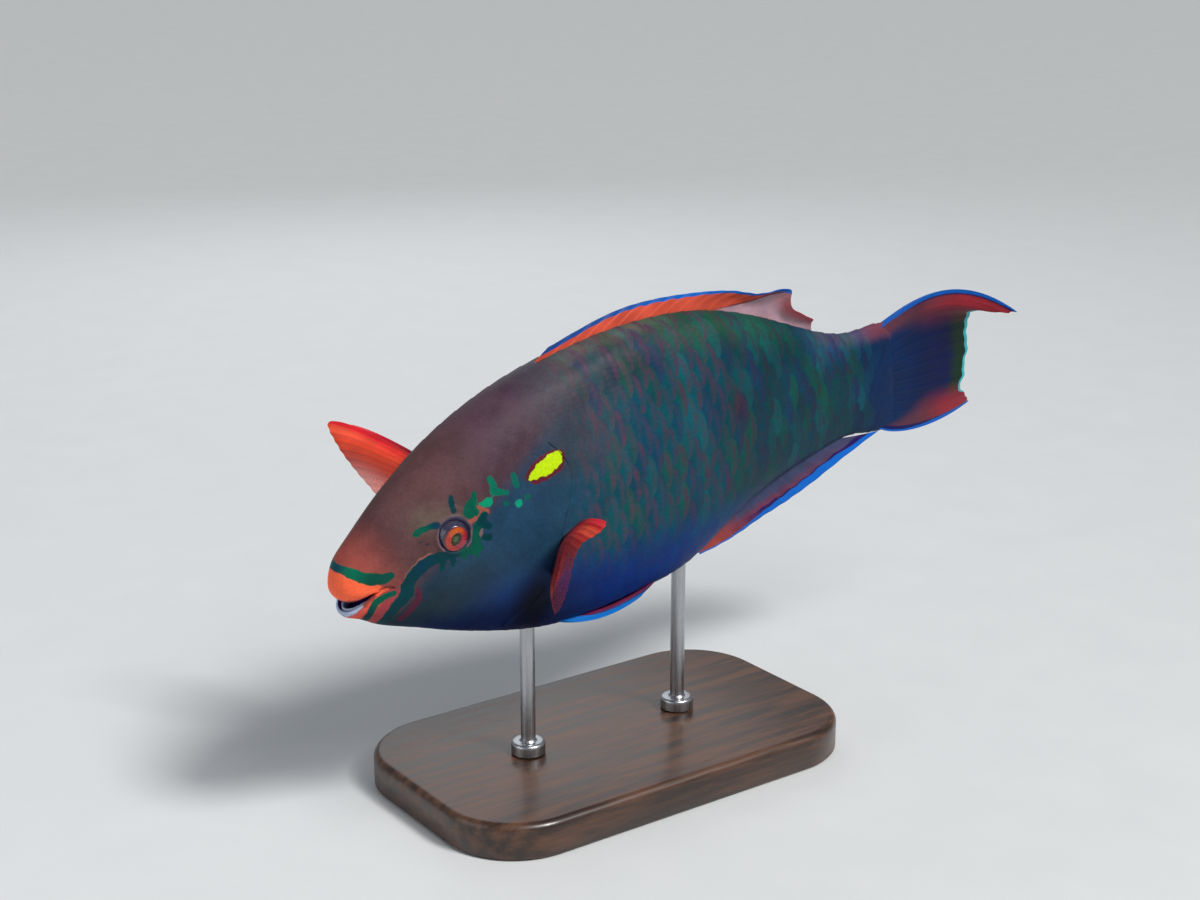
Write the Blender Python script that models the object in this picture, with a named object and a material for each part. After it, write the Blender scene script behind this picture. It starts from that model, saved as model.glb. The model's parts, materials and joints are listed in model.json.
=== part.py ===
"""A life-size display model of a grown male dusky parrotfish, held by two rods on a flat base.

The frame is in metres with +Z up, and its origin is the centre of the base's underside. The fish swims
towards -X with its head a little down, and -Y is its left side. The fish is first modelled straight, in
shares of its standard length: s from the front of the snout to the root of the tail fin, w across (the
right side is positive) and z up. It is then bent and tilted into its pose.
"""

import math

import bmesh
import bpy
import numpy as np
from mathutils import Vector

# Driving dimensions, in metres and radians
STANDARD_LENGTH = 0.265
NOSE_DOWN = math.radians(6.6)
AXIS_HEIGHT = 0.118
POSE_CENTRE = 0.45  # the share of the standard length that stands over the origin
BEND_START = 0.45
BEND_RATE = 0.11  # radians for each standard length, towards the fish's right
GAP = 0.0003  # between two pieces that touch
SINK = 0.014  # how deep a fin's root runs into the body before it is cut, as a share of the length

# Body stations from the throat, out over the lips and back to the tail, as shares of the standard length:
# back (s, z), belly (s, z), flank (s, z, half width), and the power of the section's curve, where 2 is an
# ellipse and more is squarer
STATIONS = [
    ((0.0560, -0.0410), (0.0560, -0.0460), (0.0620, -0.0430, 0.0100), 2.1),  # end of the mouth
    ((0.0280, -0.0380), (0.0310, -0.0665), (0.0510, -0.0365, 0.0255), 2.3),  # mouth wall
    ((0.0130, -0.0395), (0.0110, -0.0650), (0.0465, -0.0350, 0.0290), 2.3),  # behind the lips
    ((0.0100, -0.0445), (0.0080, -0.0590), (0.0455, -0.0325, 0.0320), 2.3),  # lip edges
    ((0.0015, -0.0385), (0.0055, -0.0625), (0.0450, -0.0322, 0.0370), 2.3),  # lip fronts
    ((-0.0005, -0.0190), (0.0125, -0.0690), (0.0470, -0.0325, 0.0410), 2.35),  # lip bulges
    ((0.0055, -0.0015), (0.0230, -0.0738), (0.0540, -0.0325, 0.0432), 2.35),  # grooves behind the lips
    ((0.0110, 0.0070), (0.0310, -0.0785), (0.0600, -0.0320, 0.0462), 2.35),  # snout and chin
    ((0.0320, 0.0270), (0.0450, -0.0880), (0.0740, -0.0300, 0.0515), 2.3),
    ((0.0800, 0.0680), (0.0880, -0.1080), (0.1060, -0.0220, 0.0610), 2.2),
    ((0.1500, 0.1175), (0.1520, -0.1360), (0.1560, -0.0120, 0.0715), 2.15),  # eye
    ((0.2250, 0.1550), (0.2250, -0.1630), (0.2250, -0.0030, 0.0790), 2.15),  # nape
    ((0.3000, 0.1805), (0.3000, -0.1830), (0.3000, 0.0020, 0.0815), 2.15),  # shoulder
    ((0.3800, 0.1970), (0.3800, -0.1895), (0.3800, 0.0060, 0.0808), 2.15),
    ((0.4700, 0.2065), (0.4700, -0.1855), (0.4700, 0.0100, 0.0770), 2.15),  # deepest
    ((0.5600, 0.2040), (0.5600, -0.1730), (0.5600, 0.0140, 0.0700), 2.1),
    ((0.6500, 0.1880), (0.6500, -0.1310), (0.6500, 0.0165, 0.0590), 2.1),
    ((0.7500, 0.1510), (0.7500, -0.0985), (0.7500, 0.0150, 0.0440), 2.1),
    ((0.8500, 0.1040), (0.8500, -0.0820), (0.8500, 0.0085, 0.0295), 2.1),  # end of the fin bases
    ((0.9200, 0.0830), (0.9200, -0.0810), (0.9200, 0.0010, 0.0205), 2.1),  # narrowest stalk
    ((0.9900, 0.0800), (0.9900, -0.0915), (0.9900, -0.0050, 0.0115), 2.1),  # root of the tail fin
    ((1.0080, 0.0755), (1.0080, -0.0880), (1.0080, -0.0055, 0.0065), 2.1),
]
MOUTH_STATIONS = 4  # how many of them lie inside the mouth, up to the lips' edges
STATION_STEPS = [1, 1, 1, 2, 2, 2, 1, 2, 3, 3, 3, 3, 2, 3, 3, 3, 3, 3, 3, 2, 1]
AROUND = 32

# Side-view line of the gill opening and nape, which parts the head from the trunk, as (s, z)
GILL_LINE = [(0.268, 0.260), (0.284, 0.160), (0.310, 0.112), (0.333, 0.078), (0.328, 0.020), (0.308, -0.030),
             (0.290, -0.080), (0.256, -0.122), (0.212, -0.160), (0.190, -0.230)]
GILL_SWELL = 0.0036  # how far the gill cover stands over the trunk, as a share of the length
STALK_START = 0.872
END_CROWN = 0.004  # how far the body's end bulges inside the tail fin's root

# Eyes and nostrils, as shares of the standard length
EYE = (0.150, 0.021)  # side-view place, as (s, z)
EYE_RADIUS = 0.0270
EYE_DEPTH = 0.0185  # from the skin in to the middle of the eyeball
RIM_RADIUS = 0.0226
RIM_THICKNESS = 0.0032
RIM_SINK = 0.0012
NOSTRILS = [(0.1120, 0.0190), (0.1045, 0.0235)]  # side-view places, as (s, z)
NOSTRIL_RADIUS = 0.0028
NOSTRIL_PROUD = 0.0004  # how far the middle of a nostril's hollow stands off the skin

PART_COLOURS = {  # name: (colour, roughness)
    "skin_head": ((0.235, 0.110, 0.105, 1), 0.45),
    "skin_trunk": ((0.035, 0.130, 0.150, 1), 0.42),
    "skin_stalk": ((0.030, 0.085, 0.150, 1), 0.42),
    "fin_red": ((0.620, 0.110, 0.060, 1), 0.45),
    "fin_violet": ((0.230, 0.070, 0.150, 1), 0.45),
    "fin_blue": ((0.020, 0.060, 0.210, 1), 0.45),
    "eye": ((0.560, 0.110, 0.050, 1), 0.12),
    "beak": ((0.640, 0.740, 0.780, 1), 0.30),
    "stand_wood": ((0.055, 0.036, 0.026, 1), 0.40),
    "stand_steel": ((0.600, 0.600, 0.610, 1), 0.30),
}


def clear_scene():
    for obj in list(bpy.data.objects):
        bpy.data.objects.remove(obj)


def material(name):
    made = bpy.data.materials.get(name)
    if made is None:
        colour, roughness = PART_COLOURS[name]
        made = bpy.data.materials.new(name)
        made.use_nodes = True
        shader = made.node_tree.nodes["Principled BSDF"]
        shader.inputs["Base Color"].default_value = colour
        shader.inputs["Roughness"].default_value = roughness
        shader.inputs["Metallic"].default_value = 1.0 if name == "stand_steel" else 0.0
        made.diffuse_color = colour
    return made


# Curves and meshes


def spline(knots, values, at):
    """Natural cubic spline through rows of values, read at the places given."""
    knots, values, at = (np.asarray(v, float) for v in (knots, values, at))
    step = np.diff(knots)
    slope = np.diff(values, axis=0) / step[:, None]
    matrix = np.eye(len(knots))
    right = np.zeros_like(values)
    for i in range(1, len(knots) - 1):
        matrix[i, i - 1:i + 2] = step[i - 1], 2 * (step[i - 1] + step[i]), step[i]
        right[i] = 6 * (slope[i] - slope[i - 1])
    curve = np.linalg.solve(matrix, right)
    i = np.clip(np.searchsorted(knots, at, side="right") - 1, 0, len(step) - 1)
    h, u = step[i][:, None], (at - knots[i])[:, None]
    v = h - u
    return (
        curve[i] * v**3 / (6 * h)
        + curve[i + 1] * u**3 / (6 * h)
        + (values[i] / h - curve[i] * h / 6) * v
        + (values[i + 1] / h - curve[i + 1] * h / 6) * u
    )


def smoothstep(low, high, value):
    t = np.clip((value - low) / (high - low), 0, 1)
    return t * t * (3 - 2 * t)


def strip_faces(rings, around):
    """Faces between rings of points that each close on themselves."""
    return [
        (r * around + k, r * around + n, (r + 1) * around + n, (r + 1) * around + k)
        for r in range(rings - 1)
        for k, n in zip(range(around), [*range(1, around), 0])
    ]


def mesh_object(name, points, faces, slot):
    mesh = bpy.data.meshes.new(name)
    mesh.from_pydata([tuple(p) for p in points], [], faces)
    work = bmesh.new()
    work.from_mesh(mesh)
    bmesh.ops.recalc_face_normals(work, faces=work.faces)
    if work.calc_volume(signed=True) < 0:
        bmesh.ops.reverse_faces(work, faces=work.faces)
    work.to_mesh(mesh)
    work.free()
    obj = bpy.data.objects.new(name, mesh)
    bpy.context.scene.collection.objects.link(obj)
    mesh.materials.append(material(slot))
    return obj


def evaluate_in_place(obj):
    """Applies the object's modifiers and keeps only its largest closed surface."""
    bpy.context.view_layer.update()
    graph = bpy.context.evaluated_depsgraph_get()
    mesh = bpy.data.meshes.new_from_object(obj.evaluated_get(graph))
    obj.modifiers.clear()
    obj.data = mesh
    work = bmesh.new()
    work.from_mesh(mesh)
    bmesh.ops.triangulate(work, faces=work.faces)
    islands, seen = [], set()
    for start in work.verts:
        if start in seen:
            continue
        island, stack = [], [start]
        seen.add(start)
        while stack:
            vert = stack.pop()
            island.append(vert)
            for edge in vert.link_edges:
                other = edge.other_vert(vert)
                if other not in seen:
                    seen.add(other)
                    stack.append(other)
        islands.append(island)
    islands.sort(key=len)
    for island in islands[:-1]:
        bmesh.ops.delete(work, geom=island, context="VERTS")
    work.to_mesh(mesh)
    work.free()


def cut(obj, tool, operation="DIFFERENCE"):
    modifier = obj.modifiers.new("cut", "BOOLEAN")
    modifier.operation = operation
    modifier.object = tool
    evaluate_in_place(obj)


def join(obj, pieces):
    """One Boolean union of obj with a collection of closed pieces, which are then removed."""
    group = bpy.data.collections.new("pieces")
    bpy.context.scene.collection.children.link(group)
    for piece in pieces:
        bpy.context.scene.collection.objects.unlink(piece)
        group.objects.link(piece)
    modifier = obj.modifiers.new("join", "BOOLEAN")
    modifier.operation = "UNION"
    modifier.operand_type = "COLLECTION"
    modifier.collection = group
    evaluate_in_place(obj)
    remove(pieces)
    bpy.data.collections.remove(group)


def remove(objects):
    for obj in objects:
        bpy.data.objects.remove(obj)


# Body


def station_places(steps):
    """Spline places with the given number of steps between one station and the next, and the knots."""
    rows = np.array([[*back, *belly, *flank, power] for back, belly, flank, power in STATIONS])
    knots = np.concatenate([[0], np.cumsum(np.linalg.norm(np.diff(rows[:, :7], axis=0), axis=1))])
    places = [knots[i] + (knots[i + 1] - knots[i]) * k / n for i, n in enumerate(steps) for k in range(n)]
    return rows, knots, np.array([*places, knots[-1]])


def section(row, angles):
    """One ring of the body round its station row: an oval through the back, the flanks and the belly."""
    back_s, back_z, belly_s, belly_z, flank_s, flank_z, half, power = row
    sine, cosine = np.sin(angles), np.cos(angles)
    rise = np.abs(sine) ** (2 / power)
    s = flank_s + np.where(sine >= 0, back_s - flank_s, belly_s - flank_s) * rise
    z = flank_z + np.where(sine >= 0, back_z - flank_z, belly_z - flank_z) * rise
    w = half * np.sign(cosine) * np.abs(cosine) ** (2 / power)
    return np.stack([s, w, z], axis=1)


def gill_swell(points):
    """Moves the points of the gill cover outwards, most along its rear edge."""
    s, w, z = points.T
    rear = smoothstep(0.20, 0.32, s)
    level = smoothstep(-0.16, -0.09, z) * (1 - smoothstep(0.055, 0.11, z))
    moved = points.copy()
    moved[:, 1] += np.sign(w) * GILL_SWELL * rear * level
    return moved


def body(name, slot, swell=False, grow=0.0):
    """The whole body as one closed mesh, from the end of the mouth over the lips to the tail."""
    rows, knots, places = station_places(STATION_STEPS)
    angles = np.arange(AROUND) * 2 * math.pi / AROUND
    rings = [section(row, angles) for row in spline(knots, rows, places)]
    points = np.concatenate(rings)
    if swell:
        points = gill_swell(points)
    points = [*points, rings[0].mean(axis=0), rings[-1].mean(axis=0) + (END_CROWN, 0, 0)]
    faces = strip_faces(len(rings), AROUND)
    throat, end, last = len(points) - 2, len(points) - 1, (len(rings) - 1) * AROUND
    faces += [(throat, (k + 1) % AROUND, k) for k in range(AROUND)]
    faces += [(end, last + k, last + (k + 1) % AROUND) for k in range(AROUND)]
    obj = mesh_object(name, np.array(points) * STANDARD_LENGTH, faces, slot)
    if grow:
        normals = [v.normal.copy() for v in obj.data.vertices]
        for vertex, normal in zip(obj.data.vertices, normals):
            vertex.co += normal * grow
    return obj


def flank_width(s, z):
    """Half width of the body at a side-view place behind the lips."""
    rows, knots, _ = station_places(STATION_STEPS)
    mean = rows[:, [0, 2, 4]].mean(axis=1)
    place = np.interp(s, mean[MOUTH_STATIONS:], knots[MOUTH_STATIONS:])
    row = spline(knots, rows, [place])[0]
    reach = (row[1] if z > row[5] else row[3]) - row[5]
    share = min(abs((z - row[5]) / reach), 1)
    return row[6] * (1 - share ** row[7]) ** (1 / row[7])


def prism(name, outline):
    """A cutter: a side-view outline, as (s, z), run right across the fish."""
    reach = 0.5
    count = len(outline)
    points = [(s * STANDARD_LENGTH, side * reach * STANDARD_LENGTH, z * STANDARD_LENGTH)
              for side in (-1, 1) for s, z in outline]
    faces = [tuple(range(count)), tuple(range(2 * count - 1, count - 1, -1))]
    faces += [(k, k + count, (k + 1) % count + count, (k + 1) % count) for k in range(count)]
    return mesh_object(name, points, faces, "skin_trunk")


def gill_outline(shift):
    """The region ahead of the gill line, moved back by shift."""
    line = [(s + shift / STANDARD_LENGTH, z) for s, z in GILL_LINE]
    return [(-0.1, GILL_LINE[0][1]), *line, (-0.1, GILL_LINE[-1][1])]


def ball(name, place, radii, slot, segments=20, rings=12):
    """An ellipsoid in fish coordinates, with its radii as shares of the length."""
    points = [(0, 0, 1), (0, 0, -1)]
    for r in range(1, rings):
        tilt = math.pi * r / rings
        for k in range(segments):
            turn = 2 * math.pi * k / segments
            points.append((math.sin(tilt) * math.cos(turn), math.sin(tilt) * math.sin(turn), math.cos(tilt)))
    faces = []
    for k in range(segments):
        n = (k + 1) % segments
        faces.append((0, 2 + k, 2 + n))
        faces.append((1, 2 + (rings - 2) * segments + n, 2 + (rings - 2) * segments + k))
        for r in range(rings - 2):
            a, b = 2 + r * segments, 2 + (r + 1) * segments
            faces.append((a + k, b + k, b + n, a + n))
    placed = (np.array(points) * radii + place) * STANDARD_LENGTH
    return mesh_object(name, placed, faces, slot)


def flank_normal(s, z, side):
    """Outward direction of the flank at a side-view place, in fish coordinates."""
    step = 0.004
    along = (flank_width(s + step, z) - flank_width(s - step, z)) / (2 * step)
    up = (flank_width(s, z + step) - flank_width(s, z - step)) / (2 * step)
    return Vector((-along, side, -up)).normalized()


def eye_rim(side):
    """A low ring of skin round the eye, lying on the flank."""
    around, tube = 24, 6
    normal = flank_normal(*EYE, side)
    right = normal.cross(Vector((0, 0, 1))).normalized()
    up = right.cross(normal)
    centre = Vector((EYE[0], side * (flank_width(*EYE) - RIM_SINK), EYE[1]))
    points = []
    for k in range(around):
        turn = 2 * math.pi * k / around
        out = right * math.cos(turn) + up * math.sin(turn)
        for j in range(tube):
            roll = 2 * math.pi * j / tube
            points.append(centre + out * (RIM_RADIUS + RIM_THICKNESS * math.cos(roll))
                          + normal * RIM_THICKNESS * math.sin(roll))
    count = len(points)
    faces = [tuple(corner % count for corner in face) for face in strip_faces(around + 1, tube)]
    return mesh_object("rim", np.array(points) * STANDARD_LENGTH, faces, "skin_head")


def eye_centre(side):
    skin = Vector((EYE[0], side * flank_width(*EYE), EYE[1]))
    return np.array(skin - flank_normal(*EYE, side) * EYE_DEPTH)


def make_head():
    head = body("head", "skin_head", swell=True)
    join(head, [eye_rim(-1), eye_rim(1)])
    tools = [prism("head_region", gill_outline(0))]
    cut(head, tools[0], "INTERSECT")
    clear = EYE_RADIUS + GAP / STANDARD_LENGTH
    for side in (-1, 1):
        tools.append(ball("socket", eye_centre(side), clear, "skin_head"))
        for s, z in NOSTRILS:
            pit = (s, side * (flank_width(s, z) + NOSTRIL_PROUD), z)
            tools.append(ball("nostril", pit, NOSTRIL_RADIUS, "skin_head", 8, 6))
    for tool in tools[1:]:
        cut(head, tool)
    remove(tools)
    return head


def make_trunk():
    trunk = body("trunk", "skin_trunk")
    ahead = prism("ahead", gill_outline(GAP))
    behind = prism("behind", [(STALK_START, -0.3), (STALK_START, 0.3), (1.2, 0.3), (1.2, -0.3)])
    cut(trunk, ahead)
    cut(trunk, behind)
    remove([ahead, behind])
    return trunk


def make_stalk():
    stalk = body("tail_stalk", "skin_stalk")
    start = STALK_START + GAP / STANDARD_LENGTH
    ahead = prism("ahead", [(-0.1, -0.3), (-0.1, 0.3), (start, 0.3), (start, -0.3)])
    cut(stalk, ahead)
    remove([ahead])
    return stalk


def make_eyes():
    return [
        ball(name, eye_centre(side), EYE_RADIUS, "eye", 24, 16)
        for name, side in (("eye_left", -1), ("eye_right", 1))
    ]


# Beak

PLATE_CORNER = (0.047, 0.0265)  # where a tooth plate ends, as (s, w)
# Section of a tooth plate, as shares of its thickness inwards and of its height towards the biting edge
PLATE_SECTION = [(0.0, 1.0), (-0.06, 0.5), (0.0, 0.0), (1.0, 0.0), (1.0, 0.75)]


def beak_plate(name, front, edge, root, thickness):
    """A tooth plate bent round the front of the mouth, with its outer face at s = front on the midline. edge
    and root give the height of its biting edge and of its root, at the front and at the corners."""
    steps, ring = 14, len(PLATE_SECTION)
    points = []
    for k in range(steps + 1):
        side, ahead = math.cos(math.pi * k / steps), math.sin(math.pi * k / steps)
        low = root[1] + (root[0] - root[1]) * ahead
        high = edge[1] + (edge[0] - edge[1]) * ahead
        for depth, level in PLATE_SECTION:
            s = PLATE_CORNER[0] + (front - PLATE_CORNER[0]) * ahead + thickness * depth
            w = side * (PLATE_CORNER[1] - thickness * depth)
            points.append((s, w, low + (high - low) * level))
    faces = strip_faces(steps + 1, ring)
    faces += [tuple(range(ring)), tuple(range(steps * ring + ring - 1, steps * ring - 1, -1))]
    return mesh_object(name, np.array(points) * STANDARD_LENGTH, faces, "beak")


def make_beak(blocked):
    """The two tooth plates, cut off where they meet the mouth."""
    plates = [
        beak_plate("beak_upper", 0.0145, (-0.0462, -0.0352), (-0.0330, -0.0250), 0.0065),
        beak_plate("beak_lower", 0.0105, (-0.0560, -0.0384), (-0.0690, -0.0480), 0.0070),
    ]
    for plate in plates:
        cut(plate, blocked)
    return plates


# Fins


MEMBRANE_HALF = 0.00030  # half thicknesses, in metres
RAY_HALF = 0.00042  # what a ray's ridge adds on each face at its root
RAY_TIP_SHARE = 0.25  # the share of it that is left at the tip
# Columns from one ray to the next: share of the way, share of a ray's ridge, share of the margin's notch
RAY_COLUMNS = [(0.0, 1.0, 0.0), (0.24, 0.15, 0.6), (0.5, 0.0, 1.0), (0.76, 0.15, 0.6)]


class Fin:
    """A fin as a fan of rays. Roots and tips are rows of (ray number, s, w, z). Bow moves each ray's middle
    by (s, w, z), and its last value says where: 1 is half way, less is nearer the root, and more nearer the
    tip. Root_half is the half thickness at the root, in metres, and notch the share of the membrane's length
    that its margin is drawn in between two rays."""

    def __init__(self, name, slot, rays, roots, tips, bow, rows=7, root_half=0.00110, tip_power=2.0,
                 notch=0.028):
        self.name, self.slot, self.rays, self.rows = name, slot, rays, rows
        self.roots, self.tips, self.bow = np.array(roots), np.array(tips), np.array(bow)
        self.root_half, self.tip_power, self.notch = root_half, tip_power, notch

    def columns(self):
        """Ray numbers of the columns, with how much of a ray's ridge and of a notch each has."""
        found = [(ray + off, *shares) for ray in range(self.rays - 1) for off, *shares in RAY_COLUMNS]
        return np.array([*found, (self.rays - 1, *RAY_COLUMNS[0][1:])])

    def surface(self):
        """Middle surface and half thickness, by column and row, in metres."""
        numbers, ridge, notch = self.columns().T
        root = spline(self.roots[:, 0], self.roots[:, 1:], numbers)
        tip = spline(self.tips[:, 0], self.tips[:, 1:], numbers)
        bow = spline(self.bow[:, 0], self.bow[:, 1:], numbers)
        out = np.linspace(0, 1, self.rows)[None, :, None]
        reach = (1 - self.notch * notch)[:, None, None] * out
        eased = reach ** bow[:, None, 3:]
        middle = root[:, None] + (tip - root)[:, None] * reach + bow[:, None, :3] * 4 * eased * (1 - eased)
        sweep = np.zeros_like(middle)
        # A lateral sweep grows towards the tip, so that the root stays square to the body
        sweep[..., 1] = (tip - root)[:, None, 1] * (reach[..., 0] ** self.tip_power - reach[..., 0])
        middle = (middle + sweep) * STANDARD_LENGTH
        inwards = 1 - out[..., 0]
        half = MEMBRANE_HALF + (self.root_half - MEMBRANE_HALF) * inwards**3
        half = half + RAY_HALF * ridge[:, None] * (RAY_TIP_SHARE + (1 - RAY_TIP_SHARE) * inwards)
        return middle, half

    def solid(self):
        middle, half = self.surface()
        count, rows = half.shape
        normal = np.cross(np.gradient(middle, axis=0), np.gradient(middle, axis=1))
        normal /= np.linalg.norm(normal, axis=2, keepdims=True)
        points = np.concatenate([
            (middle + normal * half[..., None]).reshape(-1, 3),
            (middle - normal * half[..., None]).reshape(-1, 3),
        ])
        faces = []
        far = count * rows
        for i in range(count - 1):
            for j in range(rows - 1):
                a, b, c, d = i * rows + j, (i + 1) * rows + j, (i + 1) * rows + j + 1, i * rows + j + 1
                faces += [(a, b, c), (a, c, d), (far + a, far + c, far + b), (far + a, far + d, far + c)]
        rim = [i * rows for i in range(count)] + [(count - 1) * rows + j for j in range(1, rows)]
        rim += [i * rows + rows - 1 for i in range(count - 2, -1, -1)] + [j for j in range(rows - 2, 0, -1)]
        for a, b in zip(rim, rim[1:] + rim[:1]):
            faces += [(a, far + a, b), (b, far + a, far + b)]
        return mesh_object(self.name, points, faces, self.slot)


def midline_height(s, belly):
    """Height of the back or the belly line behind the lips."""
    steps = 6
    rows, knots, places = station_places([steps] * (len(STATIONS) - 1))
    dense = spline(knots, rows, places)[MOUTH_STATIONS * steps:]
    column = 2 if belly else 0
    return float(np.interp(s, dense[:, column], dense[:, column + 1]))


def dorsal_fin():
    rays = 19
    first, last = 0.318, 0.846
    roots = []
    for k in range(0, rays, 3):
        s = first + (last - first) * k / (rays - 1)
        roots.append((k, s, 0, midline_height(s, belly=False) - SINK))
    # Half-lowered: each tip lies well behind its root
    tips = [
        (0, 0.372, 0.000, 0.2080),
        (2, 0.452, 0.004, 0.2235),
        (5, 0.540, 0.007, 0.2285),
        (8, 0.625, 0.006, 0.2200),
        (11, 0.704, -0.004, 0.2045),
        (13, 0.754, -0.010, 0.1905),
        (15, 0.799, -0.013, 0.1815),
        (16, 0.797, -0.012, 0.1600),
        (17, 0.822, -0.009, 0.1400),
        (18, 0.846, -0.005, 0.1250),
    ]
    bow = [
        (0, 0.000, 0.000, 0.002, 1),
        (9, -0.006, 0.003, 0.004, 1),
        (14, -0.006, 0.010, 0.005, 1),
        (18, 0.000, 0.004, 0.004, 1),
    ]
    return Fin("dorsal_fin", "fin_red", rays, roots, tips, bow, rows=6)


def anal_fin():
    rays = 12
    first, last = 0.584, 0.842
    roots = []
    for k in range(rays):
        s = first + (last - first) * k / (rays - 1)
        roots.append((k, s, 0, midline_height(s, belly=True) + SINK))
    tips = [
        (0, 0.597, 0.000, -0.1755),
        (1, 0.630, 0.000, -0.1735),
        (4, 0.716, -0.003, -0.1550),
        (7, 0.802, -0.007, -0.1350),
        (9, 0.872, -0.010, -0.1130),
        (11, 0.964, -0.012, -0.0870),
    ]
    bow = [
        (0, 0, 0, -0.001, 1),
        (6, -0.006, -0.003, -0.004, 1),
        (9, -0.006, -0.003, -0.005, 1),
        (11, -0.003, -0.003, -0.002, 1),
    ]
    return Fin("anal_fin", "fin_violet", rays, roots, tips, bow, rows=6)


def caudal_fin():
    rays = 14
    roots = [
        (0, 0.966, 0, 0.0700),
        (3, 0.985, 0, 0.0440),
        (7, 0.990, 0, -0.0040),
        (10, 0.985, 0, -0.0480),
        (13, 0.966, 0, -0.0820),
    ]
    # The upper lobe streams back and curls to the left side, and the lower one lies a little to the right
    tips = [
        (0, 1.199, -0.098, 0.0590),
        (1, 1.189, -0.088, 0.0580),
        (2, 1.171, -0.074, 0.0620),
        (3, 1.155, -0.052, 0.0650),
        (4, 1.161, -0.034, 0.0540),
        (5, 1.169, -0.022, 0.0335),
        (6, 1.175, -0.015, 0.0105),
        (7, 1.184, -0.008, -0.0140),
        (8, 1.182, -0.003, -0.0370),
        (9, 1.184, 0.000, -0.0590),
        (10, 1.176, 0.003, -0.0760),
        (11, 1.189, 0.007, -0.0920),
        (12, 1.202, 0.012, -0.1070),
        (13, 1.213, 0.018, -0.1175),
    ]
    bow = [
        (0, 0.004, 0, 0.0450, 1.35),
        (2, 0, 0, 0.0270, 1.3),
        (5, 0, 0, 0.0040, 1),
        (10, 0, 0, -0.0060, 0.9),
        (13, 0, 0, -0.0200, 0.75),
    ]
    return Fin("caudal_fin", "fin_blue", rays, roots, tips, bow, rows=9, root_half=0.00160)


# Side-view place of the first ray, and lengths as (share of the way down the fan, length). The last ray of
# both fins starts at PECTORAL_END. The left fin, nearer in the photo, curls at its margin.
NEAR_TOP, FAR_TOP = (0.322, -0.043), (0.318, -0.034)
PECTORAL_END = (0.306, -0.086)
NEAR_LENGTHS = [
    (0.0, 0.232),
    (0.06, 0.254),
    (0.14, 0.258),
    (0.25, 0.246),
    (0.375, 0.238),
    (0.50, 0.244),
    (0.75, 0.226),
    (1.0, 0.170),
]
FAR_LENGTHS = [
    (0.0, 0.252),
    (0.06, 0.277),
    (0.14, 0.284),
    (0.25, 0.273),
    (0.375, 0.256),
    (0.50, 0.237),
    (0.75, 0.198),
    (1.0, 0.168),
]
CURL_SHARE, CURL_WIDTH = 0.42, 0.26  # where down the fan its margin curls most, and how far to either side


def pectoral_fin(name, side, top, reaches, lead, trail, bow, curl):
    """A spread pectoral fan. lead and trail are the directions of its first and last ray, bow moves the
    middle of its rays and curl the tips of those about CURL_SHARE, all given for the right side."""
    rays = 14
    first, last = (np.array([s, flank_width(s, z), z]) for s, z in (top, PECTORAL_END))
    lead, trail = (np.array(Vector(v).normalized()) for v in (lead, trail))
    spread = math.acos(lead @ trail)
    mirror = np.array([1, side, 1])
    shares, lengths = np.array(reaches).T
    longest = lengths.max()
    roots, tips, bows = [], [], []
    for k in range(rays):
        share = k / (rays - 1)
        root = first + (last - first) * share
        way = (lead * math.sin((1 - share) * spread) + trail * math.sin(share * spread)) / math.sin(spread)
        length = spline(shares, lengths[:, None], [share])[0, 0]
        bend = np.array(curl) * math.exp(-(((share - CURL_SHARE) / CURL_WIDTH) ** 2))
        roots.append((k, *((root - (0, SINK, 0)) * mirror)))
        tips.append((k, *((root + way * length + bend) * mirror)))
        bows.append((k, *(np.array(bow) * mirror * length / longest), 1.5))
    return Fin(name, "fin_red", rays, roots, tips, bows, root_half=0.0024, tip_power=1.0, notch=0.012)


def pelvic_fin(name, side):
    """A pelvic fin folded back under the belly, its outer ray lowest."""
    roots = [(0, 0.300, side * 0.0270, -0.1620), (5, 0.314, side * 0.0140, -0.1680)]
    tips = [
        (0, 0.460, side * 0.0340, -0.1842),
        (1, 0.484, side * 0.0335, -0.1725),
        (3, 0.474, side * 0.0235, -0.1778),
        (5, 0.430, side * 0.0140, -0.1868),
    ]
    bow = [(0, 0, side * 0.005, -0.0190, 0.85), (5, 0, 0, -0.0112, 0.85)]
    return Fin(name, "fin_violet", 6, roots, tips, bow, tip_power=1.0)


def make_fins(blocked):
    """Every fin, its sunk root cut off where it meets the body's grown copy."""
    fins = [
        dorsal_fin(),
        anal_fin(),
        caudal_fin(),
        pectoral_fin("pectoral_fin_left", -1, NEAR_TOP, NEAR_LENGTHS, lead=(-0.30, 0.83, 0.46),
                     trail=(-0.60, 0.785, 0.12), bow=(-0.011, 0.004, 0.018), curl=(-0.004, -0.007, 0.024)),
        pectoral_fin("pectoral_fin_right", 1, FAR_TOP, FAR_LENGTHS, lead=(-0.51, 0.72, 0.47),
                     trail=(-0.70, 0.585, 0.36), bow=(-0.008, 0.002, 0.019), curl=(0, 0, 0)),
        pelvic_fin("pelvic_fin_left", -1),
        pelvic_fin("pelvic_fin_right", 1),
    ]
    made = []
    for fin in fins:
        solid = fin.solid()
        cut(solid, blocked)
        made.append(solid)
    return made


# Pose and stand


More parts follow.
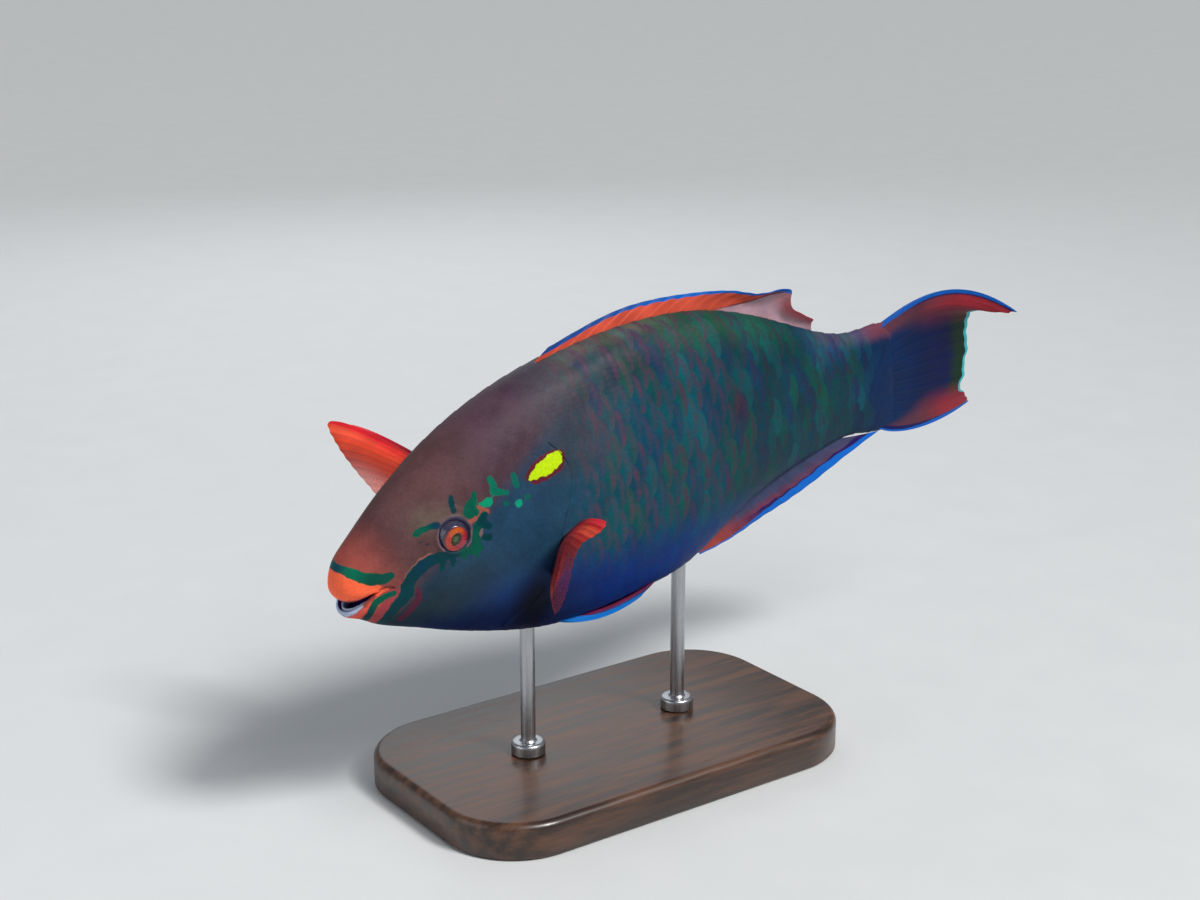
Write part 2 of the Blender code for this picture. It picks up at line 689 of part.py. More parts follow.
def posed(points):
    """Straight fish coordinates in metres, bent along the spine, tilted and lifted into place."""
    start, rate = BEND_START * STANDARD_LENGTH, BEND_RATE / STANDARD_LENGTH
    s, w, z = points.T
    turn = np.maximum(s - start, 0) * rate
    x = np.where(turn > 0, start + np.sin(turn) / rate, s) - w * np.sin(turn)
    y = (1 - np.cos(turn)) / rate + w * np.cos(turn)
    x = x - POSE_CENTRE * STANDARD_LENGTH
    cosine, sine = math.cos(NOSE_DOWN), math.sin(NOSE_DOWN)
    return np.stack([x * cosine - z * sine, y, x * sine + z * cosine + AXIS_HEIGHT], axis=1)


def pose(obj):
    mesh = obj.data
    points = np.empty(len(mesh.vertices) * 3)
    mesh.vertices.foreach_get("co", points)
    mesh.vertices.foreach_set("co", posed(points.reshape(-1, 3)).ravel())
    mesh.update()


BASE_LENGTH, BASE_WIDTH, BASE_THICKNESS = 0.176, 0.104, 0.014
BASE_CORNER = 0.030
BASE_BEVEL = 0.003
ROD_RADIUS = 0.0028
ROD_STATIONS = (0.285, 0.556)  # shares of the standard length where the rods meet the belly
ROD_SINK = 0.006  # how far a rod runs into the belly before it is cut
COLLAR_RADIUS, COLLAR_HEIGHT, COLLAR_CHAMFER = 0.0065, 0.005, 0.0014


def stand_base():
    corner_steps = 6
    outline = []
    for cx, cy, first in ((1, 1, 0), (-1, 1, 90), (-1, -1, 180), (1, -1, 270)):
        for k in range(corner_steps + 1):
            turn = math.radians(first + 90 * k / corner_steps)
            outline.append((cx * (BASE_LENGTH / 2 - BASE_CORNER) + BASE_CORNER * math.cos(turn),
                            cy * (BASE_WIDTH / 2 - BASE_CORNER) + BASE_CORNER * math.sin(turn)))
    count = len(outline)
    points = [(x, y, z) for z in (0, BASE_THICKNESS) for x, y in outline]
    faces = [tuple(range(count - 1, -1, -1)), tuple(range(count, 2 * count))]
    faces += [(k, (k + 1) % count, (k + 1) % count + count, k + count) for k in range(count)]
    base = mesh_object("stand_base", points, faces, "stand_wood")
    bevel = base.modifiers.new("edge", "BEVEL")
    bevel.width = BASE_BEVEL
    bevel.segments = 2
    bevel.limit_method = "ANGLE"
    bevel.angle_limit = math.radians(60)
    return base


def stand_rod(name, station, blocked):
    """A rod with a collar at its foot, cut to the curve of the belly at its top."""
    belly = (station, 0, midline_height(station, belly=True))
    x, y, top = posed(np.array([belly]) * STANDARD_LENGTH)[0]
    sides = 16
    low, collar = BASE_THICKNESS + GAP, BASE_THICKNESS + GAP + COLLAR_HEIGHT
    profile = [  # radius and height
        (COLLAR_RADIUS, low),
        (COLLAR_RADIUS, collar - COLLAR_CHAMFER),
        (COLLAR_RADIUS - COLLAR_CHAMFER, collar),
        (ROD_RADIUS, collar),
        (ROD_RADIUS, top + ROD_SINK),
    ]
    points = []
    for radius, z in profile:
        for k in range(sides):
            turn = 2 * math.pi * k / sides
            points.append((x + radius * math.cos(turn), y + radius * math.sin(turn), z))
    faces = strip_faces(len(profile), sides)
    faces += [tuple(range(sides - 1, -1, -1)), tuple(range(len(points) - sides, len(points)))]
    rod = mesh_object(name, points, faces, "stand_steel")
    cut(rod, blocked)
    return rod


def main():
    clear_scene()
    blocked = body("body_clearance", "skin_trunk", swell=True, grow=GAP)
    fish = [make_head(), make_trunk(), make_stalk(), *make_eyes(), *make_beak(blocked), *make_fins(blocked)]
    for obj in [*fish, blocked]:
        pose(obj)
    stand_base()
    for name, station in zip(("stand_rod_front", "stand_rod_rear"), ROD_STATIONS):
        stand_rod(name, station, blocked)
    remove([blocked])


main()
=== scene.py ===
"""The looks of a life-size parrotfish display model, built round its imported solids.

The fish is modelled straight, in shares of its standard length: s from the front of the snout to the root of
the tail fin, w across (its right side is positive) and z up. It is then bent and tilted into the pose of the
solids, in metres. Its left side faces -Y and the camera. Colours are written as display values from 0 to 255.
"""

import json
import math

import bmesh
import bpy
import numpy as np
from mathutils import Matrix, Vector

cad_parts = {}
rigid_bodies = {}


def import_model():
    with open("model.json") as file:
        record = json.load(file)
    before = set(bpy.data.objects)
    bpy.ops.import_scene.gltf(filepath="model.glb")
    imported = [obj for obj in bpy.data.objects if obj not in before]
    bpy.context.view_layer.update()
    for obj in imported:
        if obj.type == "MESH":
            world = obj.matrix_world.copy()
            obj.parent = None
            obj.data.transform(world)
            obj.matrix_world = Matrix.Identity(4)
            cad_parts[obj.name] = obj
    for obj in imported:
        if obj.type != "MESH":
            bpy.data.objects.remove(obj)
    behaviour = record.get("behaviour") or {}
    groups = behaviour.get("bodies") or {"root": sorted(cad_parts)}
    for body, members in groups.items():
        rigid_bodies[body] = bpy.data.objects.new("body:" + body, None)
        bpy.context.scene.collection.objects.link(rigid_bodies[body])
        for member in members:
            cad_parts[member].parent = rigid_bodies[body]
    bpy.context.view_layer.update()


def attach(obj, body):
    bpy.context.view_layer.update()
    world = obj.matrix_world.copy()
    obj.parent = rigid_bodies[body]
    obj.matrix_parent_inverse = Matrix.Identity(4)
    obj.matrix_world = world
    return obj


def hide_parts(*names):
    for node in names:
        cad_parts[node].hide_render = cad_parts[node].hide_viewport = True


for startup_object in list(bpy.data.objects):
    bpy.data.objects.remove(startup_object)
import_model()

# The fish's driving dimensions, as in the solids
STANDARD_LENGTH = 0.265
NOSE_DOWN = math.radians(6.6)
AXIS_HEIGHT = 0.118
POSE_CENTRE = 0.45
BEND_START = 0.45
BEND_RATE = 0.11
SINK = 0.014

# Body stations: back (s, z), belly (s, z), flank (s, z, half width), and the power of the section's curve
STATIONS = [
    ((0.0560, -0.0410), (0.0560, -0.0460), (0.0620, -0.0430, 0.0100), 2.1),  # end of the mouth
    ((0.0280, -0.0380), (0.0310, -0.0665), (0.0510, -0.0365, 0.0255), 2.3),  # mouth wall
    ((0.0130, -0.0395), (0.0110, -0.0650), (0.0465, -0.0350, 0.0290), 2.3),  # behind the lips
    ((0.0100, -0.0445), (0.0080, -0.0590), (0.0455, -0.0325, 0.0320), 2.3),  # lip edges
    ((0.0015, -0.0385), (0.0055, -0.0625), (0.0450, -0.0322, 0.0370), 2.3),  # lip fronts
    ((-0.0005, -0.0190), (0.0125, -0.0690), (0.0470, -0.0325, 0.0410), 2.35),  # lip bulges
    ((0.0055, -0.0015), (0.0230, -0.0738), (0.0540, -0.0325, 0.0432), 2.35),  # grooves behind the lips
    ((0.0110, 0.0070), (0.0310, -0.0785), (0.0600, -0.0320, 0.0462), 2.35),  # snout and chin
    ((0.0320, 0.0270), (0.0450, -0.0880), (0.0740, -0.0300, 0.0515), 2.3),
    ((0.0800, 0.0680), (0.0880, -0.1080), (0.1060, -0.0220, 0.0610), 2.2),
    ((0.1500, 0.1175), (0.1520, -0.1360), (0.1560, -0.0120, 0.0715), 2.15),  # eye
    ((0.2250, 0.1550), (0.2250, -0.1630), (0.2250, -0.0030, 0.0790), 2.15),  # nape
    ((0.3000, 0.1805), (0.3000, -0.1830), (0.3000, 0.0020, 0.0815), 2.15),  # shoulder
    ((0.3800, 0.1970), (0.3800, -0.1895), (0.3800, 0.0060, 0.0808), 2.15),
    ((0.4700, 0.2065), (0.4700, -0.1855), (0.4700, 0.0100, 0.0770), 2.15),  # deepest
    ((0.5600, 0.2040), (0.5600, -0.1730), (0.5600, 0.0140, 0.0700), 2.1),
    ((0.6500, 0.1880), (0.6500, -0.1310), (0.6500, 0.0165, 0.0590), 2.1),
    ((0.7500, 0.1510), (0.7500, -0.0985), (0.7500, 0.0150, 0.0440), 2.1),
    ((0.8500, 0.1040), (0.8500, -0.0820), (0.8500, 0.0085, 0.0295), 2.1),  # end of the fin bases
    ((0.9200, 0.0830), (0.9200, -0.0810), (0.9200, 0.0010, 0.0205), 2.1),  # narrowest stalk
    ((0.9900, 0.0800), (0.9900, -0.0915), (0.9900, -0.0050, 0.0115), 2.1),  # root of the tail fin
    ((1.0080, 0.0755), (1.0080, -0.0880), (1.0080, -0.0055, 0.0065), 2.1),
]
MOUTH_STATIONS = 4
GILL_LINE = [(0.268, 0.260), (0.284, 0.160), (0.310, 0.112), (0.333, 0.078), (0.328, 0.020), (0.308, -0.030),
             (0.290, -0.080), (0.256, -0.122), (0.212, -0.160), (0.190, -0.230)]
GILL_SWELL = 0.0036
EYE = (0.150, 0.021)
EYE_RADIUS = 0.0270
EYE_DEPTH = 0.0185
NOSTRILS = [(0.1120, 0.0190), (0.1045, 0.0235)]


# Curves and meshes


def rgb(red, green, blue):
    """A display colour from 0 to 255 as a linear colour."""
    display = np.array([red, green, blue]) / 255
    return np.where(display <= 0.04045, display / 12.92, ((display + 0.055) / 1.055) ** 2.4)


def smoothstep(low, high, value):
    t = np.clip((value - low) / (high - low), 0, 1)
    return t * t * (3 - 2 * t)


def spline(knots, values, at):
    """Natural cubic spline through rows of values, read at the places given."""
    knots, values, at = (np.asarray(v, float) for v in (knots, values, at))
    step = np.diff(knots)
    slope = np.diff(values, axis=0) / step[:, None]
    matrix = np.eye(len(knots))
    right = np.zeros_like(values)
    for i in range(1, len(knots) - 1):
        matrix[i, i - 1:i + 2] = step[i - 1], 2 * (step[i - 1] + step[i]), step[i]
        right[i] = 6 * (slope[i] - slope[i - 1])
    curve = np.linalg.solve(matrix, right)
    i = np.clip(np.searchsorted(knots, at, side="right") - 1, 0, len(step) - 1)
    h, u = step[i][..., None], (at - knots[i])[..., None]
    v = h - u
    return (
        curve[i] * v**3 / (6 * h)
        + curve[i + 1] * u**3 / (6 * h)
        + (values[i] / h - curve[i] * h / 6) * v
        + (values[i + 1] / h - curve[i + 1] * h / 6) * u
    )


def posed(points):
    """Straight fish coordinates in metres, bent along the spine, tilted and lifted into place."""
    start, rate = BEND_START * STANDARD_LENGTH, BEND_RATE / STANDARD_LENGTH
    s, w, z = points[..., 0], points[..., 1], points[..., 2]
    turn = np.maximum(s - start, 0) * rate
    x = np.where(turn > 0, start + np.sin(turn) / rate, s) - w * np.sin(turn)
    y = (1 - np.cos(turn)) / rate + w * np.cos(turn)
    x = x - POSE_CENTRE * STANDARD_LENGTH
    cosine, sine = math.cos(NOSE_DOWN), math.sin(NOSE_DOWN)
    return np.stack([x * cosine - z * sine, y, x * sine + z * cosine + AXIS_HEIGHT], axis=-1)


def strip_faces(rings, around, closed=True):
    """Faces between rows of points, which close on themselves or not."""
    r, k = np.meshgrid(np.arange(rings - 1), np.arange(around if closed else around - 1), indexing="ij")
    n = (k + 1) % around
    return np.stack([r * around + k, r * around + n, (r + 1) * around + n, (r + 1) * around + k], -1).reshape(-1, 4)


def new_mesh(name, points, faces, sharp=None):
    """A smooth-shaded object, with the edges above an angle in degrees sharp where one is given."""
    mesh = bpy.data.meshes.new(name)
    mesh.from_pydata(np.asarray(points, float).tolist(), [], [list(map(int, f)) for f in faces])
    work = bmesh.new()
    work.from_mesh(mesh)
    if work.calc_volume(signed=True) < 0:
        bmesh.ops.reverse_faces(work, faces=work.faces)
    work.to_mesh(mesh)
    work.free()
    mesh.shade_smooth()
    if sharp:
        mesh.set_sharp_from_angle(angle=math.radians(sharp))
    obj = bpy.data.objects.new(name, mesh)
    bpy.context.scene.collection.objects.link(obj)
    return obj


def fish_mesh(name, fish, faces, sharp=None):
    """A mesh given in shares of the standard length, put in its pose."""
    return new_mesh(name, posed(np.asarray(fish, float) * STANDARD_LENGTH), faces, sharp)


def set_attribute(obj, name, values):
    """One number or one colour for each point of a mesh."""
    values = np.asarray(values, np.float32)
    if values.ndim == 1:
        obj.data.attributes.new(name, "FLOAT", "POINT").data.foreach_set("value", values)
    else:
        colours = np.ones((len(values), 4), np.float32)
        colours[:, :3] = values
        obj.data.attributes.new(name, "FLOAT_COLOR", "POINT").data.foreach_set("color", colours.ravel())


def finish_piece(obj, surface, slot, *replaced):
    """Gives a piece its material, its body and the solids that it stands for."""
    obj.data.materials.clear()
    obj.data.materials.append(surface)
    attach(obj, "root")
    if replaced:
        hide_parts(*replaced)


# Materials


def node(tree, kind, inputs=None, **settings):
    """A shader node, with its inputs given as numbers, colours or other nodes' sockets."""
    made = tree.nodes.new(kind)
    for key, value in settings.items():
        setattr(made, key, value)
    for key, value in (inputs or {}).items():
        if isinstance(value, bpy.types.NodeSocket):
            tree.links.new(value, made.inputs[key])
        else:
            made.inputs[key].default_value = value
    return made


def new_material(name, **inputs):
    """A material, its tree and its Principled shader, with the shader's own values set."""
    made = bpy.data.materials.new(name)
    made.use_nodes = True
    shader = made.node_tree.nodes["Principled BSDF"]
    for key, value in inputs.items():
        shader.inputs[key.replace("_", " ")].default_value = value
    return made, made.node_tree, shader


def opaque(colour):
    return (*map(float, colour), 1.0)


def attribute(tree, name, output="Fac"):
    return node(tree, "ShaderNodeAttribute", attribute_name=name).outputs[output]


def calculate(tree, operation, first, second=0.0, third=0.0):
    return node(tree, "ShaderNodeMath", {0: first, 1: second, 2: third}, operation=operation).outputs[0]


def ramp(tree, value, low, high, start=0.0, end=1.0):
    """Value mapped smoothly from low..high to start..end."""
    given = {"Value": value, "From Min": low, "From Max": high, "To Min": start, "To Max": end}
    return node(tree, "ShaderNodeMapRange", given, interpolation_type="SMOOTHSTEP").outputs["Result"]


def mix(tree, share, first, second, blend="MIX"):
    given = {0: share, 6: first, 7: second}
    return node(tree, "ShaderNodeMix", given, data_type="RGBA", blend_type=blend).outputs[2]


def place(tree, scale=(1, 1, 1)):
    """Object coordinates in metres, stretched."""
    coordinates = node(tree, "ShaderNodeTexCoord").outputs["Object"]
    return node(tree, "ShaderNodeMapping", {"Vector": coordinates, "Scale": scale}).outputs["Vector"]


def noise(tree, vector, scale, detail=3.0, roughness=0.55):
    given = {"Vector": vector, "Scale": scale, "Detail": detail, "Roughness": roughness}
    return node(tree, "ShaderNodeTexNoise", given).outputs["Fac"]


def bump(tree, height, strength, distance, normal=None):
    given = {"Height": height, "Strength": strength, "Distance": distance}
    if normal is not None:
        given["Normal"] = normal
    return node(tree, "ShaderNodeBump", given).outputs["Normal"]


def flesh_material():
    """Skin and scales: a tint that varies over the body, three layers of marks, and dark red scale edges."""
    made, tree, shader = new_material("fish_flesh", Specular_IOR_Level=0.10, Coat_Weight=0.02, Coat_Roughness=0.25)
    where = place(tree)
    coarse, fine = noise(tree, where, 70.0, 4.0), noise(tree, where, 900.0, 3.0)
    colour = attribute(tree, "tint", "Color")
    shade = ramp(tree, coarse, 0.30, 0.70, 0.84, 1.16)
    colour = mix(tree, 1.0, colour, shade, "MULTIPLY")
    broken = ramp(tree, noise(tree, where, 260.0, 3.0), 0.32, 0.62, 0.35, 1.0)
    streak = calculate(tree, "MULTIPLY", attribute(tree, "streak"), broken)
    colour = mix(tree, streak, colour, attribute(tree, "streak_tint", "Color"))
    wobble = calculate(tree, "MULTIPLY", calculate(tree, "SUBTRACT", noise(tree, where, 520.0, 3.0), 0.5), 0.46)
    for layer, softness in (("patch", 0.16), ("rim", 0.14), ("mark", 0.08)):
        distance = calculate(tree, "ADD", attribute(tree, layer), wobble)
        inside = ramp(tree, distance, -softness, softness, 1.0, 0.0)
        colour = mix(tree, inside, colour, attribute(tree, layer + "_tint", "Color"))
    speckle = ramp(tree, fine, 0.25, 0.75, 0.90, 1.10)
    colour = mix(tree, 1.0, colour, speckle, "MULTIPLY")
    tree.links.new(colour, shader.inputs["Base Color"])
    tree.links.new(ramp(tree, coarse, 0.30, 0.70, 0.42, 0.56), shader.inputs["Roughness"])
    growth = calculate(tree, "SINE", calculate(tree, "MULTIPLY", attribute(tree, "fan"), 46.0))
    rings = calculate(tree, "SINE", calculate(tree, "MULTIPLY", attribute(tree, "rings"), 60.0))
    carved = calculate(tree, "MULTIPLY", calculate(tree, "ADD", growth, rings), attribute(tree, "plate"))
    relief = bump(tree, carved, 0.16, 0.00010)
    relief = bump(tree, fine, 0.25, 0.00010, relief)
    relief = bump(tree, coarse, 0.15, 0.00030, relief)
    tree.links.new(relief, shader.inputs["Normal"])
    return made


def fin_material():
    """Fin membrane and rays: the tint varies over the fin, and the rays are a little lighter and finely jointed."""
    made, tree, shader = new_material("fin_membrane", Specular_IOR_Level=0.11, Coat_Weight=0.02, Coat_Roughness=0.25)
    where = place(tree)
    coarse, fine = noise(tree, where, 90.0, 4.0), noise(tree, where, 1100.0, 3.0)
    colour = attribute(tree, "tint", "Color")
    colour = mix(tree, 1.0, colour, ramp(tree, coarse, 0.30, 0.70, 0.84, 1.16), "MULTIPLY")
    ridge = attribute(tree, "ridge")
    colour = mix(tree, calculate(tree, "MULTIPLY", ridge, 0.55), colour, attribute(tree, "ray_tint", "Color"))
    wobble = calculate(tree, "MULTIPLY", calculate(tree, "SUBTRACT", noise(tree, where, 300.0, 3.0), 0.5), 0.22)
    border = ramp(tree, calculate(tree, "ADD", attribute(tree, "border"), wobble), -0.07, 0.07, 1.0, 0.0)
    colour = mix(tree, border, colour, attribute(tree, "border_tint", "Color"))
    tree.links.new(colour, shader.inputs["Base Color"])
    tree.links.new(attribute(tree, "cover"), shader.inputs["Alpha"])
    tree.links.new(ramp(tree, coarse, 0.30, 0.70, 0.36, 0.52), shader.inputs["Roughness"])
    joints = calculate(tree, "SINE", calculate(tree, "MULTIPLY", attribute(tree, "length"), 5200.0))
    relief = bump(tree, calculate(tree, "MULTIPLY", joints, ridge), 0.30, 0.00010)
    relief = bump(tree, fine, 0.22, 0.00010, relief)
    tree.links.new(relief, shader.inputs["Normal"])
    return made


def eye_material():
    made, tree, shader = new_material("eye_ball", Specular_IOR_Level=0.5, Roughness=0.16, Coat_Weight=0.6,
                                      Coat_Roughness=0.04)
    streaks = noise(tree, place(tree), 1500.0, 3.0)
    colour = mix(tree, 1.0, attribute(tree, "tint", "Color"), ramp(tree, streaks, 0.3, 0.7, 0.80, 1.20), "MULTIPLY")
    tree.links.new(colour, shader.inputs["Base Color"])
    return made


def cornea_material():
    made, _, _ = new_material("eye_cornea", Roughness=0.03, Alpha=0.12, Base_Color=(0, 0, 0, 1))
    return made


def tooth_material():
    """Pale enamel with the faint mosaic of the small teeth that a parrotfish's plate is fused from."""
    made, tree, shader = new_material("beak_enamel", Specular_IOR_Level=0.5, Roughness=0.28)
    cells = node(tree, "ShaderNodeTexVoronoi", {"Vector": place(tree, (1, 1, 0.7)), "Scale": 2200.0},
                 feature="DISTANCE_TO_EDGE").outputs["Distance"]
    seams = ramp(tree, cells, 0.0, 0.16)
    colour = mix(tree, seams, opaque(rgb(136, 150, 182)), opaque(rgb(178, 192, 218)))
    tree.links.new(colour, shader.inputs["Base Color"])
    tree.links.new(bump(tree, seams, 0.20, 0.00008), shader.inputs["Normal"])
    return made


def wood_material():
    """Dark stained wood with long grain, under a satin lacquer."""
    made, tree, shader = new_material("stand_wood", Specular_IOR_Level=0.45, Coat_Weight=0.30, Coat_Roughness=0.18)
    along = place(tree, (6.0, 60.0, 60.0))
    grain = noise(tree, along, 4.0, 8.0, 0.62)
    pores = noise(tree, place(tree, (40.0, 900.0, 900.0)), 1.4, 2.0)
    colour = mix(tree, ramp(tree, grain, 0.35, 0.68), opaque(rgb(44, 29, 22)), opaque(rgb(92, 60, 42)))
    colour = mix(tree, ramp(tree, pores, 0.60, 0.72, 0.0, 0.6), colour, opaque(rgb(24, 16, 12)))
    tree.links.new(colour, shader.inputs["Base Color"])
    tree.links.new(ramp(tree, grain, 0.3, 0.7, 0.34, 0.48), shader.inputs["Roughness"])
    tree.links.new(bump(tree, pores, 0.15, 0.0002), shader.inputs["Normal"])
    return made


def steel_material():
    """Steel rod brushed along its length."""
    made, tree, shader = new_material("stand_steel", Metallic=1.0, Base_Color=opaque(rgb(176, 178, 182)))
    brush = noise(tree, place(tree, (900.0, 900.0, 30.0)), 3.0, 3.0)
    tree.links.new(ramp(tree, brush, 0.3, 0.7, 0.24, 0.40), shader.inputs["Roughness"])
    tree.links.new(bump(tree, brush, 0.10, 0.00005), shader.inputs["Normal"])
    return made


# Body surface


ROWS = np.array([[*back, *belly, *flank, power] for back, belly, flank, power in STATIONS])
KNOTS = np.concatenate([[0], np.cumsum(np.linalg.norm(np.diff(ROWS[:, :7], axis=0), axis=1))])
BACK = spline(KNOTS, ROWS, np.linspace(KNOTS[MOUTH_STATIONS], KNOTS[-1], 200))[:, :2]  # the back's line, as (s, z)


def body_points(places, angles):
    """Points of the body at spline places and section angles: 0 is the right flank and a quarter turn the back."""
    back_s, back_z, belly_s, belly_z, flank_s, flank_z, half, power = np.moveaxis(
        spline(KNOTS, ROWS, places), -1, 0)
    sine, cosine = np.sin(angles), np.cos(angles)
    rise = np.abs(sine) ** (2 / power)
    s = flank_s + np.where(sine >= 0, back_s - flank_s, belly_s - flank_s) * rise
    z = flank_z + np.where(sine >= 0, back_z - flank_z, belly_z - flank_z) * rise
    w = half * np.sign(cosine) * np.abs(cosine) ** (2 / power)
    return np.stack([s, w, z], axis=-1)


def grid_normals(points):
    """Outward normals of a grid of points that runs tailwards and then round from the right flank to the back."""
    normals = np.cross(np.gradient(points, axis=0), np.gradient(points, axis=1))
    return -normals / np.maximum(np.linalg.norm(normals, axis=-1, keepdims=True), 1e-12)


def flank_width(s, z):
    """Half width of the body at a side-view place behind the lips."""
    mean = ROWS[:, [0, 2, 4]].mean(axis=1)
    row = spline(KNOTS, ROWS, [np.interp(s, mean[MOUTH_STATIONS:], KNOTS[MOUTH_STATIONS:])])[0]
    reach = (row[1] if z > row[5] else row[3]) - row[5]
    share = min(abs((z - row[5]) / reach), 1)
    return row[6] * (1 - share ** row[7]) ** (1 / row[7])


def flank_normal(s, z, side):
    step = 0.004
    along = (flank_width(s + step, z) - flank_width(s - step, z)) / (2 * step)
    up = (flank_width(s, z + step) - flank_width(s, z - step)) / (2 * step)
    return np.array(Vector((-along, side, -up)).normalized())


def gill_line(z):
    """The gill opening's s at each height."""
    line = np.array(GILL_LINE)[::-1]
    return spline(line[:, 1], line[:, :1], np.clip(z, line[0, 1], line[-1, 1]))[..., 0]


def gill_level(z):
    """How far the gill cover stands free of the trunk, by height: 1 along its middle, 0 above and below."""
    return smoothstep(-0.16, -0.09, z) * (1 - smoothstep(0.055, 0.11, z))


def gill_swell(points):
    """How far the gill cover stands proud of the body, ahead of the gill line only."""
    s, z = points[..., 0], points[..., 2]
    behind = s - gill_line(z)
    return GILL_SWELL * smoothstep(0.20, 0.32, s) * gill_level(z) * (behind < 0.0002)


# Colours of the skin


DUSKY = rgb(86, 58, 60)
SNOUT = rgb(156, 74, 66)
NAPE = rgb(70, 52, 66)
BROW = rgb(100, 90, 80)
SLATE = rgb(34, 66, 92)
CHEEK = rgb(30, 48, 60)
THROAT = rgb(12, 34, 80)
TEAL = rgb(0, 64, 80)
GREEN_BACK = rgb(20, 76, 56)
REAR_GREEN = rgb(0, 50, 58)
NAVY = rgb(0, 42, 118)
STALK_TOP = rgb(30, 66, 98)
TAIL_ROOT = rgb(0, 32, 74)
BLOTCH = rgb(50, 22, 42)
BACK_GREY = rgb(96, 86, 80)
SHOULDER = rgb(60, 60, 70)
UPPER_BACK = rgb(26, 30, 44)
SHADOW = rgb(2, 8, 26)
STALK_EDGE = rgb(84, 70, 96)
LOBE_ROOT = rgb(110, 50, 62)
MOUTH = rgb(60, 30, 110)
LIP = rgb(250, 104, 66)
LOWER_LIP = rgb(214, 84, 68)
CORAL = rgb(150, 60, 66)
CRIMSON = rgb(80, 32, 52)
SALMON = rgb(146, 78, 66)
PALE_EDGE = rgb(170, 186, 214)
YELLOW = rgb(180, 214, 12)
YELLOW_RIM = rgb(92, 28, 40)
ORBIT = rgb(58, 50, 74)
ORBIT_EDGE = rgb(108, 84, 90)
NOSTRIL = rgb(46, 42, 58)
FRONT_STREAK = rgb(84, 54, 70)
STREAK = rgb(72, 40, 64)
REAR_STREAK = rgb(46, 26, 50)
LOW_STREAK = rgb(44, 40, 92)

